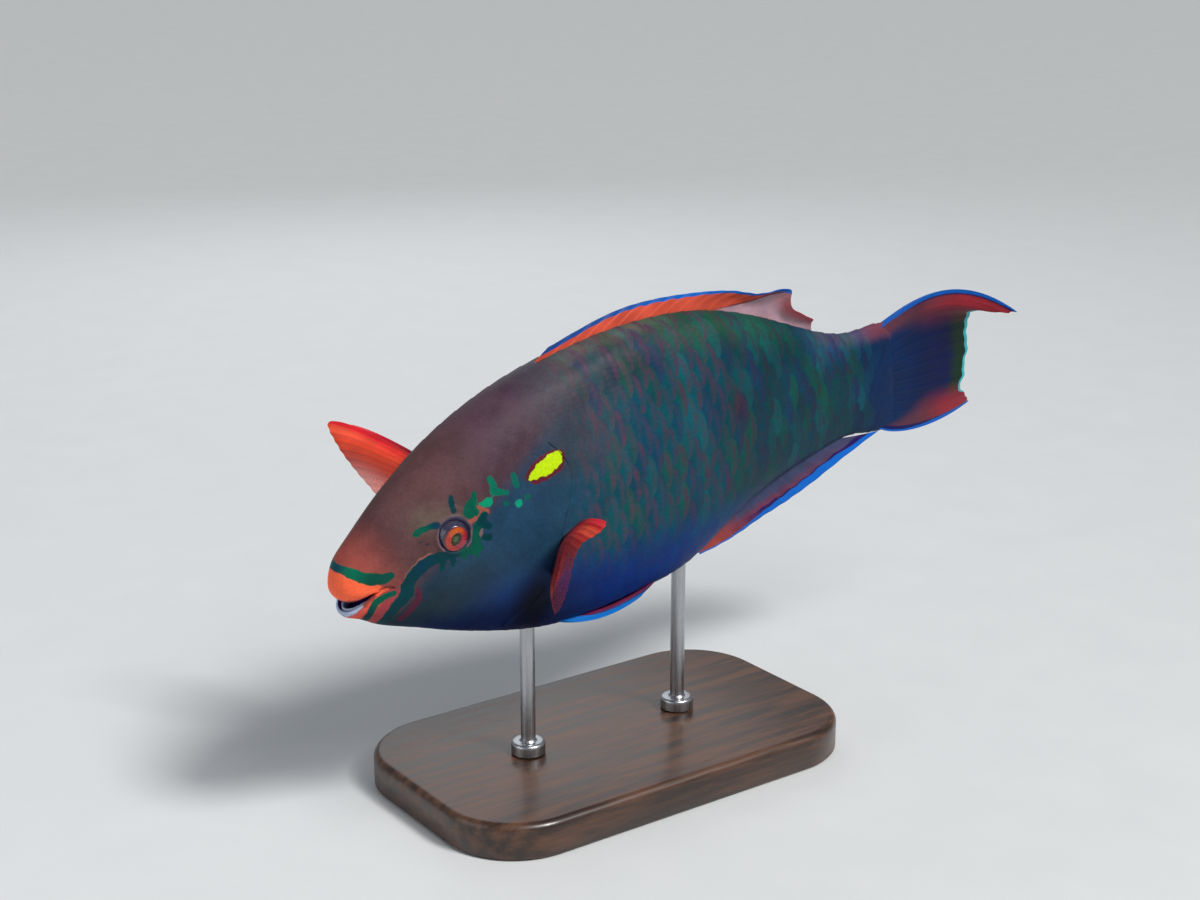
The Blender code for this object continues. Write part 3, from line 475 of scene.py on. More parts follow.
# Strokes in side view: (s, z, radius), mirrored on both sides. A fourth number gives w where the body turns
# away to the front. Each stroke is (colour, points).
DARK_TEAL, BLUE_TEAL, GREEN = rgb(0, 54, 62), rgb(0, 50, 72), rgb(0, 82, 64)
MARKS = [
    # Ahead of the eye and over it
    (GREEN, [(0.1028, 0.0350, 0.0048), (0.1103, 0.0385, 0.0044), (0.1202, 0.0397, 0.0038)]),
    (BLUE_TEAL, [(0.1202, 0.0397, 0.0038), (0.1300, 0.0402, 0.0048)]),
    (DARK_TEAL, [(0.1577, 0.0704, 0.0034), (0.1560, 0.0615, 0.0038), (0.1568, 0.0530, 0.0036)]),
    # Drop over the rear of the eye, and the mark behind it
    (GREEN, [(0.1892, 0.0690, 0.0030), (0.1850, 0.0600, 0.0054), (0.1785, 0.0512, 0.0086),
             (0.1765, 0.0455, 0.0084)]),
    (GREEN, [(0.1785, 0.0500, 0.0070), (0.1845, 0.0440, 0.0050)]),
    (rgb(4, 142, 104), [(0.1925, 0.0528, 0.0022), (0.1985, 0.0512, 0.0048), (0.2052, 0.0525, 0.0062)]),
    # Zigzag, bars and dots towards the yellow mark
    (rgb(4, 104, 82), [(0.2140, 0.0808, 0.0040), (0.2176, 0.0715, 0.0048), (0.2140, 0.0648, 0.0050),
                       (0.2240, 0.0605, 0.0046), (0.2333, 0.0580, 0.0032)]),
    (rgb(4, 96, 84), [(0.2470, 0.0770, 0.0044), (0.2486, 0.0635, 0.0044)]),
    (rgb(8, 92, 84), [(0.2286, 0.0441, 0.0040), (0.2296, 0.0437, 0.0040)]),
    (rgb(10, 152, 118), [(0.2465, 0.0396, 0.0056), (0.2478, 0.0392, 0.0054)]),
    (rgb(20, 84, 80), [(0.2600, 0.0445, 0.0048), (0.2618, 0.0435, 0.0040)]),
    # Band down behind the eye, with its lobes
    (DARK_TEAL, [(0.1958, 0.0372, 0.0054), (0.1895, 0.0300, 0.0066), (0.1830, 0.0250, 0.0060)]),
    (GREEN, [(0.1830, 0.0250, 0.0060), (0.1784, 0.0166, 0.0060), (0.1780, 0.0055, 0.0068),
             (0.1790, -0.0040, 0.0076), (0.1700, -0.0040, 0.0070), (0.1640, -0.0035, 0.0060)]),
    (DARK_TEAL, [(0.1900, 0.0270, 0.0056), (0.1995, 0.0210, 0.0046)]),
    (DARK_TEAL, [(0.1906, 0.0078, 0.0046), (0.1962, 0.0060, 0.0054)]),
    # Band under the eye, with its teeth
    (GREEN, [(0.1640, -0.0035, 0.0060), (0.1560, -0.0030, 0.0058)]),
    (DARK_TEAL, [(0.1560, -0.0030, 0.0058), (0.1440, -0.0018, 0.0062), (0.1324, -0.0024, 0.0070),
                 (0.1211, -0.0030, 0.0078), (0.1118, -0.0040, 0.0084)]),
    (GREEN, [(0.1592, -0.0060, 0.0048), (0.1590, -0.0130, 0.0026)]),
    (GREEN, [(0.1780, -0.0060, 0.0066), (0.1768, -0.0140, 0.0028)]),
    (DARK_TEAL, [(0.1431, -0.0060, 0.0050), (0.1415, -0.0180, 0.0030)]),
    (DARK_TEAL, [(0.1289, -0.0060, 0.0054), (0.1264, -0.0205, 0.0034)]),
    # Broad band from there down to the chin
    (BLUE_TEAL, [(0.1118, -0.0040, 0.0084), (0.1030, -0.0080, 0.0092), (0.0944, -0.0140, 0.0092)]),
    (DARK_TEAL, [(0.0944, -0.0140, 0.0092), (0.0850, -0.0226, 0.0092), (0.0780, -0.0330, 0.0100),
                 (0.0765, -0.0410, 0.0106), (0.0710, -0.0480, 0.0092), (0.0614, -0.0581, 0.0078, 0.0472),
                 (0.0540, -0.0680, 0.0074, 0.0405), (0.0500, -0.0780, 0.0070, 0.0300),
                 (0.0490, -0.0850, 0.0066, 0.0160)]),
    # Stripe from the corner of the mouth to the chin
    (GREEN, [(0.0620, -0.0372, 0.0034, 0.0482), (0.0487, -0.0403, 0.0042, 0.0427),
             (0.0391, -0.0455, 0.0050, 0.0400), (0.0330, -0.0535, 0.0054, 0.0363)]),
    (DARK_TEAL, [(0.0330, -0.0535, 0.0054, 0.0363), (0.0290, -0.0640, 0.0056, 0.0290),
                 (0.0285, -0.0740, 0.0050, 0.0180), (0.0290, -0.0790, 0.0046, 0.0060)]),
    # Band over the upper lip
    (rgb(6, 66, 84), [(0.0070, 0.0032, 0.0054, 0.0), (0.0104, 0.0026, 0.0056, 0.0135)]),
    (rgb(2, 104, 76), [(0.0104, 0.0026, 0.0056, 0.0135), (0.0161, -0.0008, 0.0068, 0.0267),
                       (0.0257, -0.0066, 0.0078, 0.0363)]),
    (rgb(4, 72, 60), [(0.0257, -0.0066, 0.0078, 0.0363), (0.0373, -0.0114, 0.0086, 0.0424),
                       (0.0503, -0.0133, 0.0074, 0.0470), (0.0590, -0.0116, 0.0060, 0.0493)]),
    # Skin of the eye socket, and the nostrils
    (ORBIT, [(EYE[0], EYE[1] + 0.001, 0.0228), (EYE[0] + 0.001, EYE[1] + 0.004, 0.0222)]),
    *((NOSTRIL, [(s, z, 0.0018), (s + 0.001, z, 0.0018)]) for s, z in NOSTRILS),
    # Yellow mark over the gill opening, in lumps
    (YELLOW, [(0.2700, 0.0668, 0.0040), (0.2790, 0.0700, 0.0076), (0.2880, 0.0740, 0.0098), (0.2960, 0.0760, 0.0100),
              (0.3060, 0.0800, 0.0100), (0.3165, 0.0838, 0.0078)]),
    (YELLOW, [(0.2920, 0.0690, 0.0066), (0.3020, 0.0700, 0.0060)]),
    (YELLOW, [(0.3100, 0.0755, 0.0080), (0.3180, 0.0770, 0.0050)]),
]
RIMS = [
    (YELLOW_RIM, [(0.2675, 0.0690, 0.0060), (0.2800, 0.0740, 0.0110), (0.2940, 0.0775, 0.0136),
                  (0.3110, 0.0800, 0.0140), (0.3200, 0.0830, 0.0090)]),
    (YELLOW_RIM, [(0.2760, 0.0650, 0.0080), (0.2900, 0.0670, 0.0100), (0.3120, 0.0740, 0.0110)]),
    (SALMON, [(0.1742, 0.0345, 0.0040), (0.1863, 0.0382, 0.0042)]),
    (SALMON, [(0.1890, 0.0480, 0.0046), (0.1995, 0.0412, 0.0044)]),
    (rgb(112, 92, 96), [(0.1868, 0.0200, 0.0040), (0.1845, 0.0130, 0.0044)]),
    (rgb(128, 88, 78), [(0.1118, -0.0010, 0.0080), (0.1030, -0.0050, 0.0088), (0.0930, -0.0120, 0.0086),
                        (0.0830, -0.0210, 0.0084)]),
    (CORAL, [(0.0620, -0.0372, 0.0060, 0.0482), (0.0487, -0.0403, 0.0062, 0.0427)]),
    (rgb(126, 68, 58), [(0.0373, -0.0096, 0.0088, 0.0424), (0.0503, -0.0116, 0.0078, 0.0470)]),
    (rgb(96, 24, 36), [(0.0450, -0.0285, 0.0008, 0.0420), (0.0520, -0.0262, 0.0014, 0.0455),
                       (0.0613, -0.0277, 0.0012, 0.0480), (0.0681, -0.0407, 0.0010, 0.0507)]),
    (ORBIT_EDGE, [(EYE[0], EYE[1], 0.0246), (EYE[0] + 0.001, EYE[1], 0.0246)]),
]
PATCHES = [
    (PALE_EDGE, [(0.0070, -0.0615, 0.0040, 0.0), (0.0090, -0.0600, 0.0040, 0.0140),
                 (0.0170, -0.0545, 0.0036, 0.0250), (0.0240, -0.0485, 0.0016, 0.0300)]),
    (LIP, [(0.0000, -0.0170, 0.0215, 0.0), (0.0060, -0.0180, 0.0205, 0.0180), (0.0180, -0.0210, 0.0165, 0.0330),
           (0.0330, -0.0250, 0.0115, 0.0405), (0.0450, -0.0300, 0.0070, 0.0420), (0.0540, -0.0300, 0.0036, 0.0440)]),
    (LOWER_LIP, [(0.0120, -0.0690, 0.0076, 0.0), (0.0150, -0.0660, 0.0074, 0.0170),
                 (0.0230, -0.0590, 0.0068, 0.0310), (0.0380, -0.0470, 0.0056, 0.0390),
                 (0.0480, -0.0370, 0.0046, 0.0430)]),
    (CORAL, [(0.0680, -0.0390, 0.0036, 0.0510), (0.0600, -0.0450, 0.0046, 0.0480),
             (0.0456, -0.0572, 0.0056, 0.0415), (0.0390, -0.0690, 0.0056, 0.0320),
             (0.0380, -0.0800, 0.0050, 0.0180)]),
    (CRIMSON, [(0.0915, -0.0380, 0.0040), (0.0920, -0.0540, 0.0050), (0.0800, -0.0690, 0.0046),
               (0.0700, -0.0800, 0.0046)]),
    (rgb(136, 66, 62), [(0.0700, -0.0240, 0.0050), (0.0690, -0.0330, 0.0046)]),
]


def stroke_distance(points, stroke):
    """Distance of each point (s, |w|, z) to a chain of tapered strokes, negative inside, and each one's length."""
    nodes = [(n[0], n[3] if len(n) > 3 else flank_width(n[0], n[1]), n[1], n[2]) for n in stroke]
    best = np.full(len(points), np.inf)
    for first, second in zip(nodes[:-1], nodes[1:]):
        a, b = np.array(first), np.array(second)
        way = b[:3] - a[:3]
        share = np.clip((points - a[:3]) @ way / (way @ way), 0, 1)
        gap = np.linalg.norm(points - a[:3] - share[:, None] * way, axis=1) - (a[3] + share * (b[3] - a[3]))
        best = np.minimum(best, gap)
    return best


def layer(points, strokes, softness):
    """The nearest stroke's distance, in hundredths of the standard length, and the colour there, which changes
    from one stroke to the next over the softness."""
    distances = np.stack([stroke_distance(points, stroke) for _, stroke in strokes])
    nearest = distances.min(axis=0)
    weights = np.exp((nearest - distances) / softness)
    colours = np.array([colour for colour, _ in strokes])
    return nearest * 100, (weights / weights.sum(axis=0)).T @ colours


def blended(base, colour, share):
    return base + (colour - base) * share[:, None]


def body_tint(s, z):
    """The smooth colour of the skin by its side-view place."""
    back = np.interp(s, BACK[:, 0], BACK[:, 1]) - z
    above = z - (-0.050 + 0.69 * (s - 0.070))
    tint = np.tile(SLATE, (len(s), 1))
    tint = blended(tint, CHEEK, smoothstep(0.03, -0.07, z) * smoothstep(0.26, 0.16, s))
    tint = blended(tint, TEAL, smoothstep(0.28, 0.40, s))
    tint = blended(tint, REAR_GREEN, smoothstep(0.56, 0.66, s) * smoothstep(-0.13, -0.06, z) * 0.8)
    tint = blended(tint, NAVY, smoothstep(-0.045, -0.130, z + 0.10 * (s - 0.4)) * smoothstep(0.12, 0.30, s))
    tint = blended(tint, THROAT, smoothstep(-0.070, -0.130, z) * smoothstep(0.04, 0.12, s) * smoothstep(0.42, 0.30, s))
    tint = blended(tint, DUSKY, smoothstep(-0.018, 0.030, above) * smoothstep(0.42, 0.30, s))
    tint = blended(tint, BROW, smoothstep(0.08, 0.12, s) * smoothstep(0.22, 0.12, s)
                   * smoothstep(0.03, 0.0, np.abs(z - 0.048)) * 0.6)
    tint = blended(tint, NAPE, smoothstep(0.13, 0.26, s) * smoothstep(0.45, 0.34, s)
                   * smoothstep(-0.010, 0.040, above) * 0.9)
    tint = blended(tint, SHOULDER, smoothstep(0.03, 0.08, z) * smoothstep(0.27, 0.33, s)
                   * smoothstep(0.47, 0.37, s) * 0.7)
    tint = blended(tint, UPPER_BACK, smoothstep(0.080, 0.030, back) * smoothstep(0.34, 0.42, s)
                   * smoothstep(0.62, 0.50, s) * 0.8)
    tint = blended(tint, GREEN_BACK, smoothstep(0.060, 0.015, back) * smoothstep(0.46, 0.58, s)
                   * smoothstep(0.80, 0.70, s))
    tint = blended(tint, BACK_GREY, smoothstep(0.016, 0.002, back) * smoothstep(0.33, 0.40, s)
                   * smoothstep(0.60, 0.50, s) * 0.8)
    tint = blended(tint, SNOUT, smoothstep(0.095, 0.010, s + 0.3 * z) * smoothstep(-0.02, 0.0, above))
    tint = blended(tint, STALK_TOP, smoothstep(0.78, 0.86, s) * smoothstep(0.045, 0.080, z))
    tint = blended(tint, TAIL_ROOT, smoothstep(0.86, 0.97, s) * 0.95)
    tint = blended(tint, STALK_EDGE, smoothstep(0.026, 0.006, back) * smoothstep(0.82, 0.86, s) * 0.7)
    tint = blended(tint, LOBE_ROOT, smoothstep(0.030, 0.008, back) * smoothstep(0.93, 0.97, s) * 0.8)
    root = np.hypot((s - 0.268) / 0.050, (z + 0.118) / 0.076)
    tint = blended(tint, SHADOW, smoothstep(1.1, 0.2, root) * 0.95)
    spot = np.hypot((s - 0.645) / 0.020, (z - 0.058) / 0.034)
    return blended(tint, BLOTCH, smoothstep(1.1, 0.2, spot) * 0.75)


def streak_tint(s, z):
    """The colour of the scales' rear edges by their side-view place."""
    tint = np.tile(FRONT_STREAK, (len(s), 1))
    tint = blended(tint, STREAK, smoothstep(0.42, 0.52, s))
    tint = blended(tint, REAR_STREAK, smoothstep(0.60, 0.72, s))
    return blended(tint, LOW_STREAK, smoothstep(-0.05, -0.10, z))


def paint(obj, fish, inside=None, variety=None):
    """Sets the tint and the layers of marks on a piece of flesh. Inside is 1 within the mouth, and variety is
    a colour and a share of it for each point."""
    s, w, z = fish.T
    tint = body_tint(s, z)
    if variety is not None:
        tint = blended(tint, *variety)
    view = np.stack([s, np.abs(w), z], axis=1)
    if inside is not None:
        tint = blended(tint, MOUTH, inside)
    set_attribute(obj, "tint", tint)
    for name, strokes, softness in (("patch", PATCHES, 0.0006), ("rim", RIMS, 0.0006), ("mark", MARKS, 0.0028)):
        distance, colours = layer(view, strokes, softness)
        if inside is not None:
            distance = distance + inside * 10
        set_attribute(obj, name, distance)
        set_attribute(obj, name + "_tint", colours)


# Skin


SKIN_STEPS = [4, 3, 3, 5, 8, 8, 4, 14, 26, 40, 36, 28, 16, 14, 14, 12, 12, 12, 10, 8, 3]
SKIN_AROUND = 288
GILL_REACH = 0.55  # how far from the gill line the rings bend to follow it, along the stations' spline
EDGE_OFFSETS = [-0.012, -0.006, -0.002, 0.0, 0.0012, 0.004, 0.010]  # rings beside the gill line
COAT_DEPTH = 0.0012  # how far the skin lies below the solids under the scales


def skin_angles():
    """Section angles, closer together on the flanks than along the back and the belly."""
    even = np.linspace(0, 2 * np.pi, 2000)
    density = 0.75 + 0.9 * np.cos(even - 0.12 * np.sign(np.cos(even))) ** 2
    total = np.concatenate([[0], np.cumsum((density[1:] + density[:-1]) / 2)])
    return np.interp(np.arange(SKIN_AROUND) / SKIN_AROUND, total / total[-1], even)


def skin_places(angles):
    """Spline places of the skin's rings, for each column, bent so that one ring follows the gill opening."""
    even = np.concatenate([np.linspace(KNOTS[i], KNOTS[i + 1], n, endpoint=False)
                           for i, n in enumerate(SKIN_STEPS)] + [KNOTS[-1:]])
    search = np.linspace(KNOTS[8], KNOTS[14], 500)
    points = body_points(search[:, None], angles[None])
    behind = points[..., 0] - gill_line(points[..., 2])
    first = np.argmax(behind > 0, axis=0)
    column = np.arange(len(angles))
    before, after = behind[first - 1, column], behind[first, column]
    found = search[first - 1] + (search[first] - search[first - 1]) * before / (before - after)
    centre = np.median(found)
    beside = centre + np.array(EDGE_OFFSETS)
    clear = np.abs(even - centre) > 0.016
    rings = np.sort(np.concatenate([even[clear], beside]))
    pull = 0.5 + 0.5 * np.cos(np.pi * np.clip((rings - centre) / GILL_REACH, -1, 1))
    return rings[:, None] + pull[:, None] * (found - centre)[None]


def eye_axis(side):
    """The middle of the eyeball and the direction that it looks in."""
    normal = flank_normal(*EYE, side)
    skin = np.array([EYE[0], side * flank_width(*EYE), EYE[1]])
    return skin - normal * EYE_DEPTH, normal


def coat_cover(s, z):
    """1 where scales cover the skin, 0 on the snout, the lips and round the eye."""
    from_eye = np.hypot(s - EYE[0], z - EYE[1])
    head = smoothstep(0.120, 0.150, s + 0.25 * np.abs(z)) * smoothstep(0.034, 0.044, from_eye)
    return head * smoothstep(0.0, 0.02, s - 0.06)


def make_skin(surface):
    """One closed skin from the end of the mouth over the lips to the root of the tail fin."""
    angles = skin_angles()
    places = skin_places(angles)
    fish = body_points(places, np.broadcast_to(angles, places.shape))
    wrapped = np.concatenate([fish[:, -1:], fish, fish[:, :1]], axis=1)
    normals = grid_normals(wrapped)[:, 1:-1]
    mouth = places < KNOTS[3] + 0.35 * (KNOTS[4] - KNOTS[3])
    lift = gill_swell(fish) - COAT_DEPTH * coat_cover(fish[..., 0], fish[..., 2]) * ~mouth
    for side in (-1, 1):
        centre, axis = eye_axis(side)
        offset = fish - centre
        from_axis = np.linalg.norm(offset - (offset @ axis)[..., None] * axis, axis=-1)
        near = (offset @ axis) > 0
        rim = 0.0020 * np.exp(-(((from_axis - 0.0238) / 0.0030) ** 2))
        socket = -0.0110 * smoothstep(0.0212, 0.0180, from_axis)
        lift = lift + near * (rim + socket)
    # The groove along the free edge of the gill cover, and the ridge of the cheek ahead of it
    s, z = fish[..., 0], fish[..., 2]
    behind = s - gill_line(z)
    lift = lift - 0.0016 * gill_level(z) * np.exp(-(((behind - 0.0022) / 0.0026) ** 2)) * (behind > 0)
    cheek = s - (0.205 + 0.35 * np.abs(z + 0.03) ** 1.2)
    lift = lift + 0.0011 * np.exp(-((cheek / 0.006) ** 2)) * smoothstep(-0.12, -0.05, z) * smoothstep(0.06, 0.0, z)
    fish = fish + normals * lift[..., None]
    points = [*fish.reshape(-1, 3), fish[0].mean(axis=0), fish[-1].mean(axis=0) + (0.004, 0, 0)]
    rings, around = fish.shape[:2]
    faces = strip_faces(rings, around).tolist()
    end = (rings - 1) * around
    for k in range(around):
        n = (k + 1) % around
        faces.append((len(points) - 2, n, k))
        faces.append((len(points) - 1, end + k, end + n))
    skin = fish_mesh("skin", points, faces)
    fish = np.array(points)
    inside = smoothstep(KNOTS[4] - 0.010, KNOTS[3], np.append(places.ravel(), [0, KNOTS[-1]]))
    paint(skin, fish, inside)
    blank = np.zeros(len(fish))
    for name in ("streak", "fan", "rings", "plate"):
        set_attribute(skin, name, blank)
    set_attribute(skin, "streak_tint", np.tile(STREAK, (len(fish), 1)))
    finish_piece(skin, surface, "skin_head", "head", "trunk", "tail_stalk")
    return skin


# Scales


class Flank:
    """The right flank on an even grid: along the body's axis line, and up or down from it by arc length."""

    def __init__(self):
        places = np.linspace(KNOTS[7], KNOTS[21], 420)
        angles = np.linspace(-np.pi / 2, np.pi / 2, 241)
        points = body_points(places[:, None], angles[None])
        steps = np.linalg.norm(np.diff(points, axis=1), axis=2)
        middle = len(angles) // 2
        arc = np.concatenate([np.zeros((len(places), 1)), np.cumsum(steps, axis=1)], axis=1)
        arc = arc - arc[:, middle:middle + 1]
        self.down, self.up = -arc[:, 0], arc[:, -1]
        self.along = spline(KNOTS, ROWS, places)[:, 4]
        even = np.linspace(-1, 1, 201)
        self.points = np.empty((len(places), len(even), 3))
        for i in range(len(places)):
            at = np.where(even < 0, even * self.down[i], even * self.up[i])
            for axis in range(3):
                self.points[i, :, axis] = np.interp(at, arc[i], points[i, :, axis])
        self.points[:, [0, -1], 1] = 0
        self.normals = grid_normals(self.points)

    def read(self, along, arc):
        """Point, normal and share of the way to the back or the belly, at arrays of places."""
        row = np.interp(along, self.along, np.arange(len(self.along)))
        up = np.interp(along, self.along, self.up)
        down = np.interp(along, self.along, self.down)
        share = np.clip(np.where(arc > 0, arc / up, arc / down), -1, 1)
        column = (share + 1) / 2 * (self.points.shape[1] - 1)
        i = np.minimum(row.astype(int), len(self.along) - 2)
        j = np.minimum(column.astype(int), self.points.shape[1] - 2)
        u, v = (row - i)[..., None], (column - j)[..., None]
        found = []
        for grid in (self.points, self.normals):
            low = grid[i, j] * (1 - v) + grid[i, j + 1] * v
            high = grid[i + 1, j] * (1 - v) + grid[i + 1, j + 1] * v
            found.append(low * (1 - u) + high * u)
        return found[0], found[1] / np.linalg.norm(found[1], axis=-1, keepdims=True), share


SCALE_PLACES = [0.10, 0.20, 0.45, 0.65, 0.85, 0.95, 1.00]
SCALE_HEIGHTS = [0.030, 0.040, 0.060, 0.060, 0.048, 0.036, 0.032]  # from one row to the next
SCALE_PITCHES = [0.022, 0.026, 0.0285, 0.0285, 0.0265, 0.0240, 0.0220]  # from one column to the next
SCALE_SIDES = 32
SCALE_RINGS = 8
SCALE_LIFT = 0.0021  # how far a scale's rear edge stands over the skin
SCALE_POWER = 2.8  # a scale's outline: 2 is round, and more has a straighter rear edge
SCALE_THICKNESS = 0.0008
MEMBRANE = 0.006  # bare edge of the gill cover


def scale_centres(flank):
    """Rows of (along, arc, row height, pitch) in a staggered net, kept where scales grow."""
    found = []
    along, column = 0.112, 0
    while along < 1.003:
        height = np.interp(along, SCALE_PLACES, SCALE_HEIGHTS)
        pitch = np.interp(along, SCALE_PLACES, SCALE_PITCHES)
        up = np.interp(along, flank.along, flank.up)
        down = np.interp(along, flank.along, flank.down)
        for row in range(-8, 9):
            arc = (row + (column % 2) / 2) * height
            if -down - 0.15 * height < arc < up + 0.15 * height:
                found.append((along, arc, height, pitch))
        along += pitch / 2
        column += 1
    centres = np.array(found)
    points, _, _ = flank.read(centres[:, 0], centres[:, 1])
    return centres[coat_cover(points[:, 0], points[:, 2]) > 0.5]


def make_scales(flank, name, side, centres, surface):
    """A side's scales as closed plates, each lying over the one behind it."""
    turn = np.arange(SCALE_SIDES) * 2 * np.pi / SCALE_SIDES
    radius = np.linspace(0, 1, SCALE_RINGS + 1)[1:] ** 0.85
    cosine, sine = (np.sign(v) * np.abs(v) ** (2 / SCALE_POWER) for v in (np.cos(turn), np.sin(turn)))
    a = np.append(0, np.outer(radius, cosine).ravel())
    b = np.append(0, np.outer(radius, sine).ravel())
    a = np.where(a > 0, a, a * 0.9)
    edge = np.append(0, np.repeat(radius, SCALE_SIDES))
    count = len(centres)
    along = centres[:, :1] + a[None] * centres[:, 3:] * 0.78
    arc = centres[:, 1:2] + b[None] * centres[:, 2:3] * 0.56
    base, normal, share = flank.read(along, arc)
    middle, _, _ = flank.read(centres[:, 0], centres[:, 1])
    # Scales of the gill cover end short of its bare edge and ride up with it
    limit = gill_line(base[..., 2])
    on_head = (middle[:, 0] < gill_line(middle[:, 2]) - 0.004) & (gill_level(middle[:, 2]) > 0.3)
    over = np.where(on_head[:, None], np.maximum(base[..., 0] - (limit - MEMBRANE), 0), 0)
    base[..., 0] -= over
    level = smoothstep(0.12, 0.42, centres[:, 0])
    height = (0.0006 + (SCALE_LIFT * (0.45 + 0.55 * level[:, None])) * (a[None] + 1) / 2)
    height = height - 0.0007 * b[None] ** 2 - COAT_DEPTH
    swell = GILL_SWELL * smoothstep(0.20, 0.32, base[..., 0]) * gill_level(base[..., 2])
    height = height + np.where(on_head[:, None], swell, 0)
    thickness = SCALE_THICKNESS * (1 - 0.6 * edge[None] ** 3)
    top = base + normal * height[..., None]
    rim = slice(len(a) - SCALE_SIDES, len(a))
    bottom = top[:, rim] - normal[:, rim] * thickness[:, rim, None]
    under = (base - normal * 0.0012 + normal * height[..., None] * 0.3)[:, :1]
    fish = np.concatenate([top, bottom, under], axis=1)
    fish[..., 1] *= side
    size = fish.shape[1]
    n = np.roll(np.arange(SCALE_SIDES), -1)
    k = np.arange(SCALE_SIDES)
    triangles = [np.stack([np.zeros_like(k), 1 + k, 1 + n], 1)]
    for r in range(SCALE_RINGS - 1):
        low, high = 1 + r * SCALE_SIDES, 1 + (r + 1) * SCALE_SIDES
        triangles += [np.stack([low + k, high + k, high + n], 1), np.stack([low + k, high + n, low + n], 1)]
    outer, lower, last = 1 + (SCALE_RINGS - 1) * SCALE_SIDES, len(a), len(a) + SCALE_SIDES
    triangles += [np.stack([outer + k, lower + k, lower + n], 1), np.stack([outer + k, lower + n, outer + n], 1)]
    triangles += [np.stack([np.full_like(k, last), lower + n, lower + k], 1)]
    one = np.concatenate(triangles)
    if side < 0:
        one = one[:, ::-1]
    faces = (one[None] + np.arange(count)[:, None, None] * size).reshape(-1, 3)
    obj = fish_mesh(name, fish.reshape(-1, 3), faces, sharp=50)
    flat = fish.reshape(-1, 3)
    rng = np.random.default_rng(11 + side)
    hues = np.array([rgb(4, 88, 60), rgb(8, 50, 96), rgb(6, 94, 98)])[rng.integers(0, 3, count)]
    amount = rng.uniform(0.0, 0.4, count) * smoothstep(0.30, 0.42, middle[:, 0]) * smoothstep(0.98, 0.90, middle[:, 0])
    amount = amount * (0.25 + 0.75 * smoothstep(-0.13, -0.06, middle[:, 2]))
    paint(obj, flat, variety=(np.repeat(hues, size, axis=0), np.repeat(amount, size)))
    spread = np.concatenate([np.arange(len(a)), np.arange(len(a) - SCALE_SIDES, len(a)), [0]])
    a_all, b_all, edge_all = a[spread], b[spread], edge[spread]
    ahead = np.maximum(1 - np.abs(b_all) ** SCALE_POWER, 0) ** (1 / SCALE_POWER) - a_all
    rear = np.exp(-(((ahead - 0.26 - 0.16 * b_all) / 0.21) ** 2)) * smoothstep(1.1, 0.75, np.abs(b_all))
    strength = smoothstep(0.29, 0.38, centres[:, 0]) * smoothstep(-0.17, -0.06, middle[:, 2])
    strength = strength * smoothstep(0.97, 0.88, centres[:, 0])
    strength = strength * rng.uniform(0.35, 1.0, count) * (0.9 - 0.2 * smoothstep(0.55, 0.75, middle[:, 0]))
    set_attribute(obj, "streak", (strength[:, None] * rear[None]).ravel())
    set_attribute(obj, "streak_tint", streak_tint(flat[:, 0], flat[:, 2]))
    fan = np.arctan2(b_all, a_all + 1.3)
    for key, values in (("fan", fan), ("rings", edge_all * np.hypot(a_all + 0.6, b_all)), ("plate", a_all * 0 + 1)):
        set_attribute(obj, key, np.outer(level if key == "plate" else np.ones(count), values).ravel())
    # Each scale is a small patch of the map, at its root's place on an unwrap of the flank
    patch = 0.0015
    u = (centres[:, :1] / 1.05 + a_all[None] * patch).ravel()
    v = (0.25 + 0.24 * share[:, :1] + (0.5 if side > 0 else 0) + b_all[None] * patch).ravel()
    corners = np.empty(len(obj.data.loops), np.int32)
    obj.data.loops.foreach_get("vertex_index", corners)
    layer_uv = obj.data.uv_layers.new(name="OFBake")
    layer_uv.data.foreach_set("uv", np.stack([u, v], 1)[corners].astype(np.float32).ravel())
    finish_piece(obj, surface, "skin_trunk")
    return obj


# Fins


FIN_COLUMNS = 14  # from one ray to the next
FIN_ROWS = 64
MEMBRANE_HALF = 0.00018  # half thicknesses, in metres
RAY_HALF = 0.00016
RAY_TIP_SHARE = 0.35
FORK = 0.40  # the share of a branching ray's length where it forks, and forks again half way from there
RIPPLE = 0.0004  # how far the membrane waves between two rays at the margin, as a share of the length


